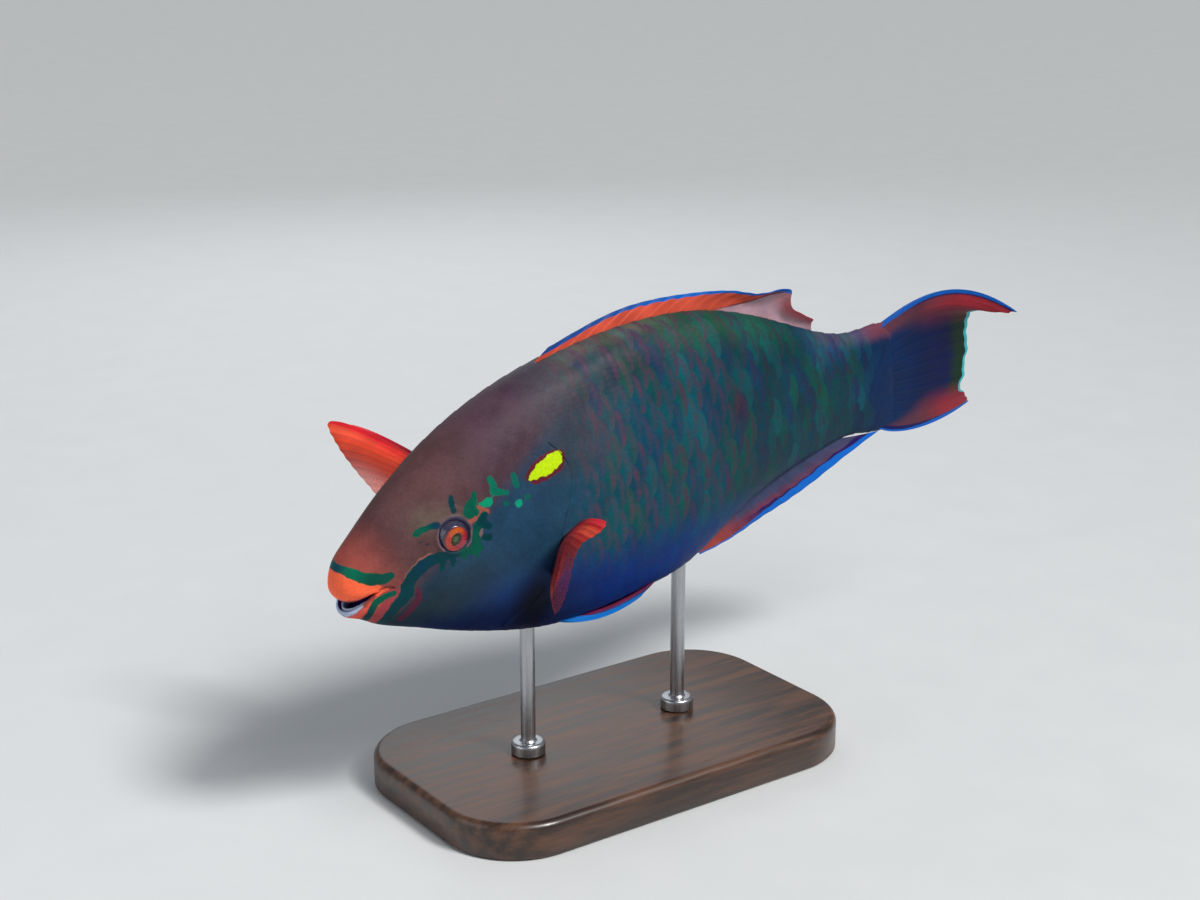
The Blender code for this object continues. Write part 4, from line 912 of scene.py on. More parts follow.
class Fin:
    """A fin as a fan of rays. Roots and tips are rows of (ray number, s, w, z). Bow moves each ray's middle
    by (s, w, z), and its last value says where: 1 is half way, less is nearer the root, and more nearer the
    tip. Colours is a function of each point's share of the way over the rays and out along them."""

    def __init__(self, name, rays, roots, tips, bow, colours, root_half=0.0011, tip_power=2.0, notch=0.010,
                 stiff=0):
        self.name, self.rays, self.colours, self.stiff = name, rays, colours, stiff
        self.roots, self.tips, self.bow = np.array(roots), np.array(tips), np.array(bow)
        self.root_half, self.tip_power, self.notch = root_half, tip_power, notch
        self.numbers = np.linspace(0, rays - 1, (rays - 1) * FIN_COLUMNS + 1)
        self.out = np.linspace(0, 1, FIN_ROWS) ** 0.85

    def ridge(self):
        """Height of the rays' ridges, from 0 to 1, by column and row."""
        number, out = self.numbers[:, None], self.out[None]
        near = np.round(number)
        offset = number - near
        soft = (near >= self.stiff) * (near > 0) * (near < self.rays - 1)
        first = 0.25 * soft * smoothstep(FORK, 1.1, out)
        second = 0.11 * soft * smoothstep((1 + FORK) / 2, 1.1, out)
        width = 0.085 * (1 - 0.45 * soft * smoothstep(FORK, 0.9, out))
        height = np.zeros(np.broadcast_shapes(number.shape, out.shape))
        for one in (-1, 1):
            for two in (-1, 1):
                height = np.maximum(height, np.exp(-(((offset - one * first - two * second) / width) ** 2)))
        return height

    def surface(self):
        """Middle surface, in shares of the standard length, and the rays' ridges, by column and row."""
        root, tip, bow = (spline(rows[:, 0], rows[:, 1:], self.numbers) for rows in (self.roots, self.tips, self.bow))
        out = self.out[None, :, None]
        between = 0.5 - 0.5 * np.cos(2 * np.pi * self.numbers)
        reach = (1 - self.notch * between)[:, None, None] * out
        eased = reach ** bow[:, None, 3:]
        middle = root[:, None] + (tip - root)[:, None] * reach + bow[:, None, :3] * 4 * eased * (1 - eased)
        middle[..., 1] += (tip - root)[:, None, 1] * (reach[..., 0] ** self.tip_power - reach[..., 0])
        return middle, self.ridge()

    def build(self, surface, slot, *replaced):
        middle, ridge = self.surface()
        columns, rows = ridge.shape
        normal = np.cross(np.gradient(middle, axis=0), np.gradient(middle, axis=1))
        normal /= np.linalg.norm(normal, axis=2, keepdims=True)
        t, out = np.broadcast_arrays(self.numbers[:, None] / (self.rays - 1), self.out[None])
        wave = np.sin(2 * np.pi * self.numbers[:, None]) + 0.6 * np.sin(self.numbers[:, None] * 2.3 + 5 * out)
        middle = middle + normal * (RIPPLE * wave * out**1.5)[..., None]
        half = MEMBRANE_HALF + (self.root_half - MEMBRANE_HALF) * (1 - out) ** 3
        half = half + RAY_HALF * ridge * (RAY_TIP_SHARE + (1 - RAY_TIP_SHARE) * (1 - out))
        half = half / STANDARD_LENGTH
        taper = 0.35 + 0.65 * smoothstep(1.0, 0.97, out)
        half = half * taper
        points = np.concatenate([(middle + normal * half[..., None]).reshape(-1, 3),
                                 (middle - normal * half[..., None]).reshape(-1, 3)])
        i, j = (v.ravel() for v in np.meshgrid(np.arange(columns - 1), np.arange(rows - 1), indexing="ij"))
        a, b, c, d = i * rows + j, (i + 1) * rows + j, (i + 1) * rows + j + 1, i * rows + j + 1
        far = columns * rows
        faces = np.concatenate([np.stack([a, b, c, d], 1), np.stack([far + a, far + d, far + c, far + b], 1)])
        rim = [k * rows for k in range(columns)] + [(columns - 1) * rows + k for k in range(1, rows)]
        rim += [k * rows + rows - 1 for k in range(columns - 2, -1, -1)] + list(range(rows - 2, 0, -1))
        edge = np.array([(p, far + p, far + q, q) for p, q in zip(rim, rim[1:] + rim[:1])])
        obj = fish_mesh(self.name, points, np.concatenate([faces, edge]), sharp=60)
        length = np.linalg.norm(middle - middle[:, :1], axis=2)
        look = self.colours(t, out, middle, length)
        both = {"ridge": ridge, "length": length * STANDARD_LENGTH, **look}
        for key, values in both.items():
            flat = values.reshape(far, -1)
            values = np.concatenate([flat, flat])
            set_attribute(obj, key, values[:, 0] if values.shape[1] == 1 else values)
        finish_piece(obj, surface, slot, *replaced)
        return obj


def field(colour, shape):
    return np.broadcast_to(colour, (*shape, 3)).copy()


def over(base, colour, share):
    return base + (colour - base) * share[..., None]


def apart(middle, column):
    """Distance of each point from one column of the fin, at the same reach."""
    return np.linalg.norm(middle - middle[column][None], axis=2)


def to_margin(middle, length):
    """Distance of each point from the fin's outer margin, square to it."""
    edge = np.gradient(middle[:, -1], axis=0)
    ray = middle[:, -1] - middle[:, -4]
    lean = np.linalg.norm(np.cross(edge, ray), axis=1) / np.linalg.norm(edge, axis=1) / np.linalg.norm(ray, axis=1)
    return (length[:, -1:] - length) * lean[:, None]


def dorsal_colours(t, out, middle, length):
    margin = to_margin(middle, length)
    tint = field(rgb(192, 74, 54), t.shape)
    tint = over(tint, rgb(120, 56, 50), smoothstep(0.42, 0.15, out) * 0.6)
    # The rear of the fin hangs lower, behind a fold that runs up to the margin, with a painted shadow along the fold
    fold = (t - 0.56) / 0.27 - out
    rear = smoothstep(-0.03, 0.03, fold)
    flap = over(field(rgb(158, 128, 140), t.shape), rgb(190, 76, 86),
                smoothstep(0.45, 0.95, out) * smoothstep(0.76, 0.94, t))
    tint = over(tint, flap, rear)
    # Painted shadow: a dark red line along the fold, under the overhanging margin
    tint = over(tint, rgb(96, 22, 32), smoothstep(0.07, 0.02, np.abs(fold)) * smoothstep(0.2, 0.6, out))
    width = 0.0056 - 0.0020 * smoothstep(0.30, 0.65, t) + 0.0030 * smoothstep(0.66, 0.78, t)
    width = width - 0.014 * smoothstep(0.82, 0.87, t)
    blue = over(field(rgb(30, 70, 140), t.shape), rgb(14, 92, 180), smoothstep(0.1, 0.5, t))
    return {"tint": tint, "ray_tint": over(tint, rgb(222, 112, 78), np.full(t.shape, 0.15)),
            "border": (margin - width) * 100, "border_tint": blue, "cover": 1 - 0.15 * rear * smoothstep(0.2, 0.7, out)}


def anal_colours(t, out, middle, length):
    margin = to_margin(middle, length)
    # Darker towards the root: a painted shadow along the fin's base
    tint = over(field(rgb(54, 62, 92), t.shape), rgb(24, 24, 66), smoothstep(0.30, 0.08, out))
    tint = over(tint, rgb(112, 44, 68), smoothstep(0.026, 0.014, margin) * smoothstep(1.1, 0.5, t) * 0.8)
    tint = over(tint, rgb(168, 70, 50), smoothstep(0.34, 0.05, t) * 0.8)
    tint = over(tint, rgb(34, 18, 84), smoothstep(0.0145, 0.0125, margin) * smoothstep(0.25, 0.45, t))
    border = margin - (0.0030 + 0.0088 * smoothstep(0.10, 0.7, t) - 0.0050 * smoothstep(0.8, 1.0, t))
    return {"tint": tint, "ray_tint": over(tint, rgb(110, 70, 96), np.full(t.shape, 0.2)), "border": border * 100,
            "border_tint": field(rgb(8, 96, 190), t.shape), "cover": np.ones(t.shape)}


def caudal_colours(t, out, middle, length):
    tint = over(field(TAIL_ROOT, t.shape), rgb(0, 22, 66), smoothstep(0.15, 0.50, out))
    tint = over(tint, rgb(10, 14, 62), smoothstep(0.45, 0.70, out) * 0.6)
    web = smoothstep(0.16, 0.28, t) * smoothstep(0.88, 0.78, t)
    tint = over(tint, rgb(18, 42, 26), smoothstep(0.76, 0.90, out) * web)
    reach = smoothstep(0.0, 0.6, out)
    upper = smoothstep(0.24 + 0.14 * reach, 0.08 + 0.06 * reach, t)
    lower = smoothstep(0.94 - 0.24 * reach, 1.0 - 0.10 * reach, t)
    red = over(field(rgb(84, 44, 58), t.shape), rgb(136, 34, 44), smoothstep(0.35, 0.8, out))
    tint = over(tint, red, np.maximum(upper, lower))
    top, bottom = apart(middle, 0), apart(middle, len(middle) - 1)
    line = np.maximum(smoothstep(0.0105, 0.0070, top) * smoothstep(0.2, 0.5, out), smoothstep(0.0105, 0.0075, bottom))
    tint = over(tint, rgb(10, 14, 76), line)
    sides = np.minimum(top - (0.0012 + 0.0052 * smoothstep(0.0, 0.35, out) - 0.003 * smoothstep(0.9, 1.0, out)),
                       bottom - (0.0030 + 0.0050 * smoothstep(0.2, 0.8, out)))
    rear = np.where(web > 0.3, to_margin(middle, length) - 0.0058 * web, 1)
    blue = over(field(rgb(6, 84, 172), t.shape), rgb(56, 170, 176), (rear < sides).astype(float))
    return {"tint": tint, "ray_tint": over(tint, rgb(24, 44, 90), np.full(t.shape, 0.12)),
            "border": np.minimum(sides, rear) * 100, "border_tint": blue, "cover": np.ones(t.shape)}


def pectoral_colours(t, out, middle, length):
    near = middle[0, 0, 1] < 0
    # The near fin is painted a darker crimson than the far one: painted shade, as both fins are alike
    tint = over(field(rgb(88, 26, 34), t.shape), rgb(184, 44, 44) if near else rgb(226, 74, 44),
                smoothstep(0.10, 0.75, out))
    tint = over(tint, rgb(116, 36, 42), smoothstep(0.22, 0.40, t) * smoothstep(0.75, 0.55, t) * 0.5)
    tint = over(tint, rgb(204, 22, 42), smoothstep(0.34, 0.08, t) * smoothstep(0.36, 0.70, out))
    # A painted highlight: a lighter salmon band just behind the leading rays, towards the tip
    tint = over(tint, rgb(236, 84, 60), smoothstep(0.10, 0.17, t) * smoothstep(0.28, 0.20, t) * smoothstep(0.55, 0.9, out))
    tint = over(tint, rgb(104, 12, 32), smoothstep(0.14, 0.03, t) * smoothstep(0.9, 0.5, out))
    tint = over(tint, rgb(180, 84, 58), smoothstep(0.60, 1.0, t) * smoothstep(0.2, 0.7, out) * 0.7)
    clear = smoothstep(0.25, 0.70, t) * smoothstep(0.35, 0.85, out)
    if not near:
        clear = 0.6 * clear * smoothstep(0.45, 1.0, out)
    return {"tint": tint, "ray_tint": over(tint, rgb(236, 104, 66), np.full(t.shape, 0.3)),
            "border": np.ones(t.shape), "border_tint": tint, "cover": 1 - 0.85 * clear}


def pelvic_colours(t, out, middle, length):
    tint = over(field(rgb(14, 24, 84), t.shape), rgb(110, 30, 60), smoothstep(0.12, 0.30, t) * smoothstep(0.8, 0.4, t))
    return {"tint": tint, "ray_tint": over(tint, rgb(60, 64, 130), np.full(t.shape, 0.2)),
            "border": (apart(middle, 0) - 0.0110 - 0.0050 * smoothstep(0.4, 0.8, out)) * 100,
            "border_tint": field(rgb(4, 100, 180), t.shape),
            "cover": np.ones(t.shape)}


def midline_height(s, belly):
    """Height of the back or the belly line behind the lips."""
    dense = spline(KNOTS, ROWS, np.linspace(KNOTS[MOUTH_STATIONS], KNOTS[-1], 200))
    column = 2 if belly else 0
    return float(np.interp(s, dense[:, column], dense[:, column + 1]))


def dorsal_fin():
    rays, first, last = 19, 0.318, 0.846
    roots = []
    for k in range(0, rays, 3):
        s = first + (last - first) * k / (rays - 1)
        roots.append((k, s, 0, midline_height(s, belly=False) - SINK))
    # Half-lowered: each tip lies well behind its root
    tips = [
        (0, 0.372, 0.000, 0.2080),
        (2, 0.452, 0.004, 0.2235),
        (5, 0.540, 0.007, 0.2285),
        (8, 0.625, 0.006, 0.2200),
        (11, 0.704, -0.004, 0.2045),
        (13, 0.754, -0.010, 0.1905),
        (15, 0.799, -0.013, 0.1815),
        (16, 0.797, -0.012, 0.1600),
        (17, 0.822, -0.009, 0.1400),
        (18, 0.846, -0.005, 0.1250),
    ]
    bow = [
        (0, 0.000, 0.000, 0.002, 1),
        (9, -0.006, 0.003, 0.004, 1),
        (14, -0.006, 0.010, 0.005, 1),
        (18, 0.000, 0.004, 0.004, 1),
    ]
    return Fin("dorsal", rays, roots, tips, bow, dorsal_colours, stiff=9)


def anal_fin():
    rays, first, last = 12, 0.584, 0.842
    roots = []
    for k in range(rays):
        s = first + (last - first) * k / (rays - 1)
        roots.append((k, s, 0, midline_height(s, belly=True) + SINK))
    tips = [
        (0, 0.597, 0.000, -0.1755),
        (1, 0.630, 0.000, -0.1735),
        (4, 0.716, -0.003, -0.1550),
        (7, 0.802, -0.007, -0.1350),
        (9, 0.872, -0.010, -0.1130),
        (11, 0.964, -0.012, -0.0870),
    ]
    bow = [
        (0, 0, 0, -0.001, 1),
        (6, -0.006, -0.003, -0.004, 1),
        (9, -0.006, -0.003, -0.005, 1),
        (11, -0.003, -0.003, -0.002, 1),
    ]
    return Fin("anal", rays, roots, tips, bow, anal_colours, stiff=3)


def caudal_fin():
    roots = [
        (0, 0.966, 0, 0.0700),
        (3, 0.985, 0, 0.0440),
        (7, 0.990, 0, -0.0040),
        (10, 0.985, 0, -0.0480),
        (13, 0.966, 0, -0.0820),
    ]
    # The upper lobe streams back and curls to the left side, and the lower one lies a little to the right
    tips = [
        (0, 1.199, -0.098, 0.0590),
        (1, 1.189, -0.088, 0.0580),
        (2, 1.171, -0.074, 0.0620),
        (3, 1.155, -0.052, 0.0650),
        (4, 1.161, -0.034, 0.0540),
        (5, 1.169, -0.022, 0.0335),
        (6, 1.175, -0.015, 0.0105),
        (7, 1.184, -0.008, -0.0140),
        (8, 1.182, -0.003, -0.0370),
        (9, 1.184, 0.000, -0.0590),
        (10, 1.176, 0.003, -0.0760),
        (11, 1.189, 0.007, -0.0920),
        (12, 1.202, 0.012, -0.1070),
        (13, 1.213, 0.018, -0.1175),
    ]
    bow = [
        (0, 0.004, 0, 0.0450, 1.35),
        (2, 0, 0, 0.0270, 1.3),
        (5, 0, 0, 0.0040, 1),
        (10, 0, 0, -0.0060, 0.9),
        (13, 0, 0, -0.0200, 0.75),
    ]
    return Fin("caudal", 14, roots, tips, bow, caudal_colours, root_half=0.00160)


# Side-view place of the first ray, and lengths as (share of the way down the fan, length). The last ray of both
# fins starts at PECTORAL_END.
NEAR_TOP, FAR_TOP = (0.322, -0.043), (0.318, -0.034)
PECTORAL_END = (0.306, -0.086)
NEAR_LENGTHS = [(0.0, 0.232), (0.06, 0.254), (0.14, 0.258), (0.25, 0.246), (0.375, 0.238), (0.50, 0.244),
                (0.75, 0.226), (1.0, 0.170)]
FAR_LENGTHS = [(0.0, 0.252), (0.06, 0.277), (0.14, 0.284), (0.25, 0.273), (0.375, 0.256), (0.50, 0.237),
               (0.75, 0.198), (1.0, 0.168)]
CURL_SHARE, CURL_WIDTH = 0.42, 0.26  # where down the fan its margin curls most, and how far to either side


def pectoral_fin(name, side, top, reaches, lead, trail, bow, curl):
    """A spread fan. lead and trail are the directions of its first and last ray, bow moves the middle of its
    rays, and curl the tips of those about CURL_SHARE, all given for the right side."""
    rays = 14
    first, last = (np.array([s, flank_width(s, z), z]) for s, z in (top, PECTORAL_END))
    lead, trail = (np.array(Vector(v).normalized()) for v in (lead, trail))
    spread = math.acos(lead @ trail)
    mirror = np.array([1, side, 1])
    shares, lengths = np.array(reaches).T
    roots, tips, bows = [], [], []
    for k in range(rays):
        share = k / (rays - 1)
        root = first + (last - first) * share
        way = (lead * math.sin((1 - share) * spread) + trail * math.sin(share * spread)) / math.sin(spread)
        length = spline(shares, lengths[:, None], [share])[0, 0]
        roots.append((k, *((root - (0, SINK, 0)) * mirror)))
        bend = np.array(curl) * math.exp(-(((share - CURL_SHARE) / CURL_WIDTH) ** 2))
        tips.append((k, *((root + way * length + bend) * mirror)))
        bows.append((k, *(np.array(bow) * mirror * length / lengths.max()), 1.5))
    return Fin(name, rays, roots, tips, bows, pectoral_colours, root_half=0.0024, tip_power=1.0, notch=0.006)


def pelvic_fin(name, side):
    roots = [(0, 0.300, side * 0.0270, -0.1620), (5, 0.314, side * 0.0140, -0.1680)]
    tips = [
        (0, 0.460, side * 0.0340, -0.1842),
        (1, 0.484, side * 0.0335, -0.1725),
        (3, 0.474, side * 0.0235, -0.1778),
        (5, 0.430, side * 0.0140, -0.1868),
    ]
    bow = [(0, 0, side * 0.005, -0.0190, 0.85), (5, 0, 0, -0.0112, 0.85)]
    return Fin(name, 6, roots, tips, bow, pelvic_colours, tip_power=1.0)


def make_fins(surface):
    dorsal_fin().build(surface, "fin_red", "dorsal_fin")
    anal_fin().build(surface, "fin_violet", "anal_fin")
    caudal_fin().build(surface, "fin_blue", "caudal_fin")
    near = pectoral_fin("pectoral_left", -1, NEAR_TOP, NEAR_LENGTHS, (-0.30, 0.83, 0.46), (-0.60, 0.785, 0.12),
                        (-0.011, 0.004, 0.018), (-0.004, -0.007, 0.024))
    near.build(surface, "fin_red", "pectoral_fin_left")
    far = pectoral_fin("pectoral_right", 1, FAR_TOP, FAR_LENGTHS, (-0.51, 0.72, 0.47), (-0.70, 0.585, 0.36),
                       (-0.008, 0.002, 0.019), (0, 0, 0))
    far.build(surface, "fin_red", "pectoral_fin_right")
    pelvic_fin("pelvic_left", -1).build(surface, "fin_violet", "pelvic_fin_left")
    pelvic_fin("pelvic_right", 1).build(surface, "fin_violet", "pelvic_fin_right")


# Eyes and beak


PUPIL, IRIS = 0.0072, 0.0160  # radii seen from the side
GAZE_DOWN = math.radians(9)
EYE_AROUND = 72


def turned(name, side, profile):
    """A closed surface turned round an eye's axis from (radius, height) pairs that start and end on the axis,
    with each point's radius and turn."""
    centre, axis = eye_axis(side)
    axis = axis * math.cos(GAZE_DOWN) - np.array([0, 0, math.sin(GAZE_DOWN)])
    axis /= np.linalg.norm(axis)
    ahead = np.cross(axis, (0, 0, 1))
    ahead /= np.linalg.norm(ahead)
    up = np.cross(ahead, axis)
    if up[2] < 0:
        up = -up
    ahead = np.cross(up, axis) * side
    turn = np.arange(EYE_AROUND) * 2 * np.pi / EYE_AROUND
    radii, heights = np.array(profile[1:-1]).T
    around = np.cos(turn)[:, None] * ahead + np.sin(turn)[:, None] * up
    rings = centre + heights[:, None, None] * axis + radii[:, None, None] * around[None]
    points = [*rings.reshape(-1, 3), centre + axis * profile[0][1], centre + axis * profile[-1][1]]
    faces = strip_faces(len(radii), EYE_AROUND).tolist()
    top, bottom, last = len(points) - 2, len(points) - 1, (len(radii) - 1) * EYE_AROUND
    faces += [(top, (k + 1) % EYE_AROUND, k) for k in range(EYE_AROUND)]
    faces += [(bottom, last + k, last + (k + 1) % EYE_AROUND) for k in range(EYE_AROUND)]
    radius = np.concatenate([np.repeat(radii, EYE_AROUND), [0, 0]])
    height = np.concatenate([np.repeat(heights, EYE_AROUND), [profile[0][1], profile[-1][1]]])
    turns = np.concatenate([np.tile(turn, len(radii)), [0, 0]])
    return fish_mesh(name, points, faces), radius, height, turns


def make_eye(name, side, node_name, surface, glass):
    radius = EYE_RADIUS
    profile = [(0, 0.0228)]
    profile += [(r, 0.0228) for r in np.linspace(0.0008, PUPIL - 0.0006, 9)]
    profile += [(PUPIL, 0.0236)]
    profile += [(PUPIL + (IRIS - PUPIL) * k / 12, 0.0238 - 0.0016 * (k / 12) ** 2) for k in range(1, 13)]
    for r in np.linspace(IRIS + 0.0006, 0.0262, 18):
        fold = 0.0009 * math.exp(-(((r - 0.0174) / 0.0014) ** 2))
        profile.append((r, math.sqrt(radius**2 - r**2) + fold))
    profile += [(radius * math.cos(a), -radius * math.sin(a)) for a in np.radians(np.linspace(0, 84, 10))]
    profile.append((0, -radius))
    ball, r, height, turn = turned(name, side, profile)
    front = height > 0
    upper, rear = np.sin(turn), -np.cos(turn)
    slant = np.cos(2 * (turn - math.radians(125)))
    iris_r, pupil_r = r * (1 - 0.05 * slant), r * (1 - 0.20 * slant)
    # The ball round the iris: purple-grey above, dark below and ahead
    tint = np.tile(rgb(44, 36, 52), (len(r), 1))
    tint = blended(tint, rgb(48, 46, 68), smoothstep(0.1, 0.8, upper))
    tint = blended(tint, rgb(28, 18, 32), smoothstep(0.1, 0.8, -upper - rear * 0.6) * 0.9)
    iris = blended(np.tile(rgb(208, 58, 40), (len(r), 1)), rgb(228, 104, 30), smoothstep(0.3, 1.0, upper))
    iris = blended(iris, rgb(186, 40, 66), smoothstep(0.0, 0.9, rear * 0.8 - upper * 0.7))
    iris = blended(iris, rgb(110, 24, 38), smoothstep(IRIS - 0.0030, IRIS, iris_r) * 0.8)
    iris = blended(iris, rgb(96, 46, 16), smoothstep(PUPIL + 0.0018, PUPIL, pupil_r) * 0.8)
    tint = blended(tint, iris, smoothstep(IRIS + 0.0008, IRIS - 0.0004, iris_r) * front)
    pupil = blended(np.tile(rgb(26, 46, 18), (len(r), 1)), rgb(84, 116, 60), smoothstep(0.0056, 0.001, pupil_r))
    tint = blended(tint, pupil, smoothstep(PUPIL + 0.0004, PUPIL - 0.0008, pupil_r) * front)
    set_attribute(ball, "tint", tint)
    finish_piece(ball, surface, "eye", node_name)
    dome = [(r, 0.0216 + 0.0052 * (1 - (r / 0.0168) ** 2)) for r in np.linspace(0, 0.0168, 14)]
    inner = [(r, h - 0.0004) for r, h in reversed(dome)]
    cornea, *_ = turned(name + "_cornea", side, [*dome, *inner])
    finish_piece(cornea, glass, "eye")


PLATE_CORNER = (0.047, 0.0265)  # where a tooth plate ends, as (s, w)
# Section of a tooth plate, as shares of its thickness inwards and of its height towards the biting edge
PLATE_SECTION = [(0.10, 1.00), (0.02, 0.94), (-0.05, 0.75), (-0.08, 0.5), (-0.05, 0.25), (0.0, 0.0), (1.0, 0.0),
                 (1.0, 0.5), (0.92, 0.78), (0.60, 0.92), (0.30, 1.00)]


def beak_plate(name, node_name, front, edge, root, thickness, surface):
    """A tooth plate bent round the front of the mouth, as in the solids, with a finely toothed biting edge."""
    steps, ring, teeth = 132, len(PLATE_SECTION), 22
    points = []
    for k in range(steps + 1):
        side, ahead = math.cos(math.pi * k / steps), math.sin(math.pi * k / steps)
        low = root[1] + (root[0] - root[1]) * ahead
        high = edge[1] + (edge[0] - edge[1]) * ahead
        tooth = abs(math.sin(math.pi * teeth * k / steps)) ** 0.6
        cleft = 0.0022 * math.exp(-((side / 0.04) ** 2))
        for depth, level in PLATE_SECTION:
            bite = max(level - 0.7, 0) / 0.3
            level = level - bite * (0.10 * (1 - tooth))
            inward = thickness * depth + (0.0004 * (1 - tooth) * bite + cleft * 0.4) * (depth < 0.5)
            s = PLATE_CORNER[0] + (front - PLATE_CORNER[0]) * ahead + inward
            w = side * (PLATE_CORNER[1] - inward)
            points.append((s, w, low + (high - low) * level))
    faces = strip_faces(steps + 1, ring).tolist()
    faces += [tuple(range(ring)), tuple(range(steps * ring + ring - 1, steps * ring - 1, -1))]
    plate = fish_mesh(name, points, faces, sharp=55)
    finish_piece(plate, surface, "beak", node_name)


# Stand


BASE_LENGTH, BASE_WIDTH, BASE_THICKNESS = 0.176, 0.104, 0.014
BASE_CORNER = 0.030
BASE_BEVEL = 0.003
ROD_RADIUS = 0.0028
ROD_STATIONS = (0.285, 0.556)
ROD_SINK = 0.006
COLLAR_RADIUS, COLLAR_HEIGHT, COLLAR_CHAMFER = 0.0065, 0.005, 0.0014
GAP = 0.0003


def make_base(surface):
    steps, rounds = 16, 8
    turns = [math.pi / 2 * k / rounds for k in range(rounds + 1)]
    profile = [(BASE_BEVEL * 0.4, 0.0), (0.0, BASE_BEVEL * 0.4)]
    profile += [(BASE_BEVEL * (1 - math.cos(a)), BASE_THICKNESS - BASE_BEVEL * (1 - math.sin(a))) for a in turns]
    points = []
    for inset, z in profile:
        for cx, cy, first in ((1, 1, 0), (-1, 1, 90), (-1, -1, 180), (1, -1, 270)):
            for k in range(steps + 1):
                turn = math.radians(first + 90 * k / steps)
                points.append((cx * (BASE_LENGTH / 2 - BASE_CORNER) + (BASE_CORNER - inset) * math.cos(turn),
                               cy * (BASE_WIDTH / 2 - BASE_CORNER) + (BASE_CORNER - inset) * math.sin(turn), z))
    around = 4 * (steps + 1)
    faces = strip_faces(len(profile), around).tolist()
    faces += [tuple(range(around - 1, -1, -1)), tuple(range(len(points) - around, len(points)))]
    base = new_mesh("base", points, faces, sharp=50)
    finish_piece(base, surface, "stand_wood", "stand_base")


def make_rod(name, node_name, station, surface):
    belly = (station, 0, midline_height(station, belly=True))
    x, y, top = posed(np.array(belly) * STANDARD_LENGTH)
    sides, low = 48, BASE_THICKNESS + GAP
    collar = low + COLLAR_HEIGHT
    profile = [(COLLAR_RADIUS - 0.0004, low), (COLLAR_RADIUS, low + 0.0004), (COLLAR_RADIUS, collar - COLLAR_CHAMFER)]
    for k in range(1, 7):
        turn = math.pi / 2 * k / 6
        profile.append((COLLAR_RADIUS - COLLAR_CHAMFER * (1 - math.cos(turn)),
                        collar - COLLAR_CHAMFER * (1 - math.sin(turn))))
    profile += [(ROD_RADIUS + 0.0006, collar), (ROD_RADIUS, collar + 0.0006), (ROD_RADIUS, top)]
    points = [(x + radius * math.cos(2 * math.pi * k / sides), y + radius * math.sin(2 * math.pi * k / sides), z)
              for radius, z in profile for k in range(sides)]
    faces = strip_faces(len(profile), sides).tolist()
    faces += [tuple(range(sides - 1, -1, -1)), tuple(range(len(points) - sides, len(points)))]
    rod = new_mesh(name, points, faces, sharp=40)
    finish_piece(rod, surface, "stand_steel", node_name)


# Stage


def make_floor():
    reach = 14.0
    floor = new_mesh("floor", [(-reach, -reach, 0), (reach, -reach, 0), (reach, reach, 0), (-reach, reach, 0)],
                     [(0, 1, 2, 3)])
    made, tree, shader = new_material("studio_floor", Roughness=0.75, Specular_IOR_Level=0.2)
    speckle = noise(tree, place(tree), 30.0, 5.0)
    colour = mix(tree, speckle, opaque(rgb(206, 209, 211)), opaque(rgb(214, 216, 218)))
    tree.links.new(colour, shader.inputs["Base Color"])
    floor.data.materials.append(made)


CAMERA_TARGET = np.array([0, 0, 0.118])
CAMERA_TURN, CAMERA_TILT = math.radians(-35.8), math.radians(16.75)
CAMERA_DISTANCE = 0.742
CAMERA_SLIDE = (-0.014 * STANDARD_LENGTH, 0.032 * STANDARD_LENGTH)  # to the picture's right, and up
CAMERA_LENS = 59.52


def camera_axes():
    back = np.array([math.sin(CAMERA_TURN) * math.cos(CAMERA_TILT), -math.cos(CAMERA_TURN) * math.cos(CAMERA_TILT),
                     math.sin(CAMERA_TILT)])
    right = np.array([math.cos(CAMERA_TURN), math.sin(CAMERA_TURN), 0])
    return right, np.cross(back, right), back


def make_camera():
    right, up, back = camera_axes()
    data = bpy.data.cameras.new("camera")
    data.lens = CAMERA_LENS
    data.sensor_width = 36.0
    data.clip_start, data.clip_end = 0.02, 60.0
    camera = bpy.data.objects.new("camera", data)
    spot = CAMERA_TARGET + right * CAMERA_SLIDE[0] + up * CAMERA_SLIDE[1] + back * CAMERA_DISTANCE
    matrix = Matrix.Identity(4)
    for column, vector in enumerate((right, up, back, spot)):
        matrix.col[column][:3] = vector
    camera.matrix_world = matrix
    bpy.context.scene.collection.objects.link(camera)
    bpy.context.scene.camera = camera


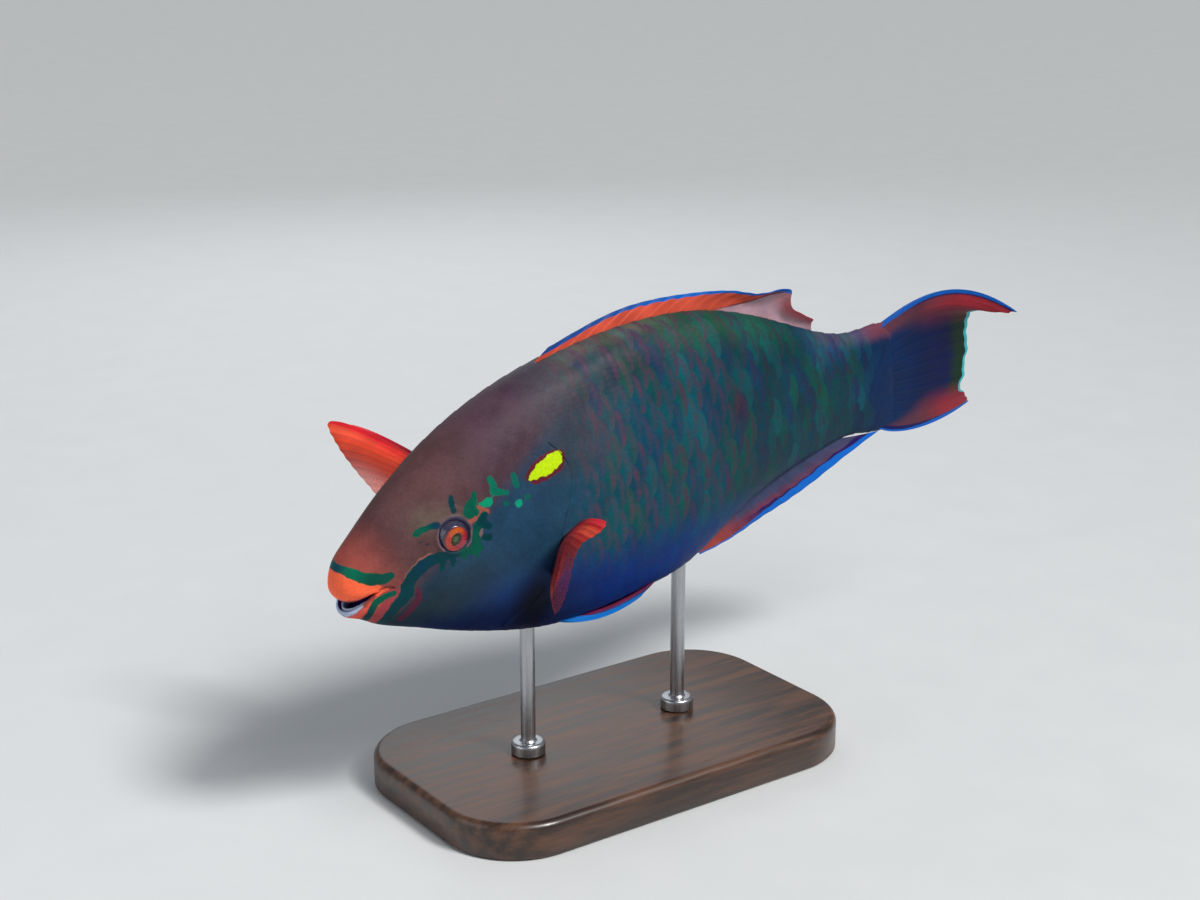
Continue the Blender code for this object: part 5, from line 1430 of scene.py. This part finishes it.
def make_light(name, kind, offset, **settings):
    """A light at an offset from the fish (to the camera's right, up, and back towards the camera)."""
    right, _, back = camera_axes()
    level = np.array([back[0], back[1], 0])
    level /= np.linalg.norm(level)
    spot = CAMERA_TARGET + right * offset[0] + np.array([0, 0, offset[1]]) + level * offset[2]
    data = bpy.data.lights.new(name, kind)
    for key, value in settings.items():
        setattr(data, key, value)
    light = bpy.data.objects.new(name, data)
    light.location = spot
    light.rotation_euler = Vector(spot - CAMERA_TARGET).to_track_quat("Z", "Y").to_euler()
    bpy.context.scene.collection.objects.link(light)


def light_scene():
    world = bpy.data.worlds.new("studio")
    world.use_nodes = True
    background = world.node_tree.nodes["Background"]
    background.inputs["Color"].default_value = opaque(rgb(226, 232, 238))
    background.inputs["Strength"].default_value = 0.27
    bpy.context.scene.world = world
    warm, cool = (1.0, 0.98, 0.95), (0.92, 0.96, 1.0)
    make_light("sun", "SUN", (0.75, 1.0, 0.45), energy=2.3, angle=math.radians(14), color=warm)
    make_light("key", "AREA", (0.45, 0.75, 0.55), energy=4.0, shape="DISK", size=0.5, color=warm)
    make_light("fill", "AREA", (-0.9, 0.35, 0.5), energy=2.5, shape="DISK", size=0.9, color=cool)
    make_light("back", "AREA", (-0.2, 0.6, -1.0), energy=2.2, shape="DISK", size=0.9, color=cool)
    bpy.context.scene.view_settings.view_transform = "Standard"


def main():
    flesh, fins = flesh_material(), fin_material()
    make_skin(flesh)
    flank = Flank()
    centres = scale_centres(flank)
    middle = np.median(centres[:, 0])
    for name, side in (("left", -1), ("right", 1)):
        make_scales(flank, f"scales_{name}_front", side, centres[centres[:, 0] <= middle], flesh)
        make_scales(flank, f"scales_{name}_rear", side, centres[centres[:, 0] > middle], flesh)
    make_fins(fins)
    eyeball, glass = eye_material(), cornea_material()
    make_eye("eyeball_left", -1, "eye_left", eyeball, glass)
    make_eye("eyeball_right", 1, "eye_right", eyeball, glass)
    enamel = tooth_material()
    beak_plate("plate_upper", "beak_upper", 0.0145, (-0.0462, -0.0352), (-0.0330, -0.0250), 0.0065, enamel)
    beak_plate("plate_lower", "beak_lower", 0.0105, (-0.0560, -0.0384), (-0.0690, -0.0480), 0.0048, enamel)
    make_base(wood_material())
    steel = steel_material()
    make_rod("rod_front", "stand_rod_front", ROD_STATIONS[0], steel)
    make_rod("rod_rear", "stand_rod_rear", ROD_STATIONS[1], steel)
    make_floor()
    make_camera()
    light_scene()


main()
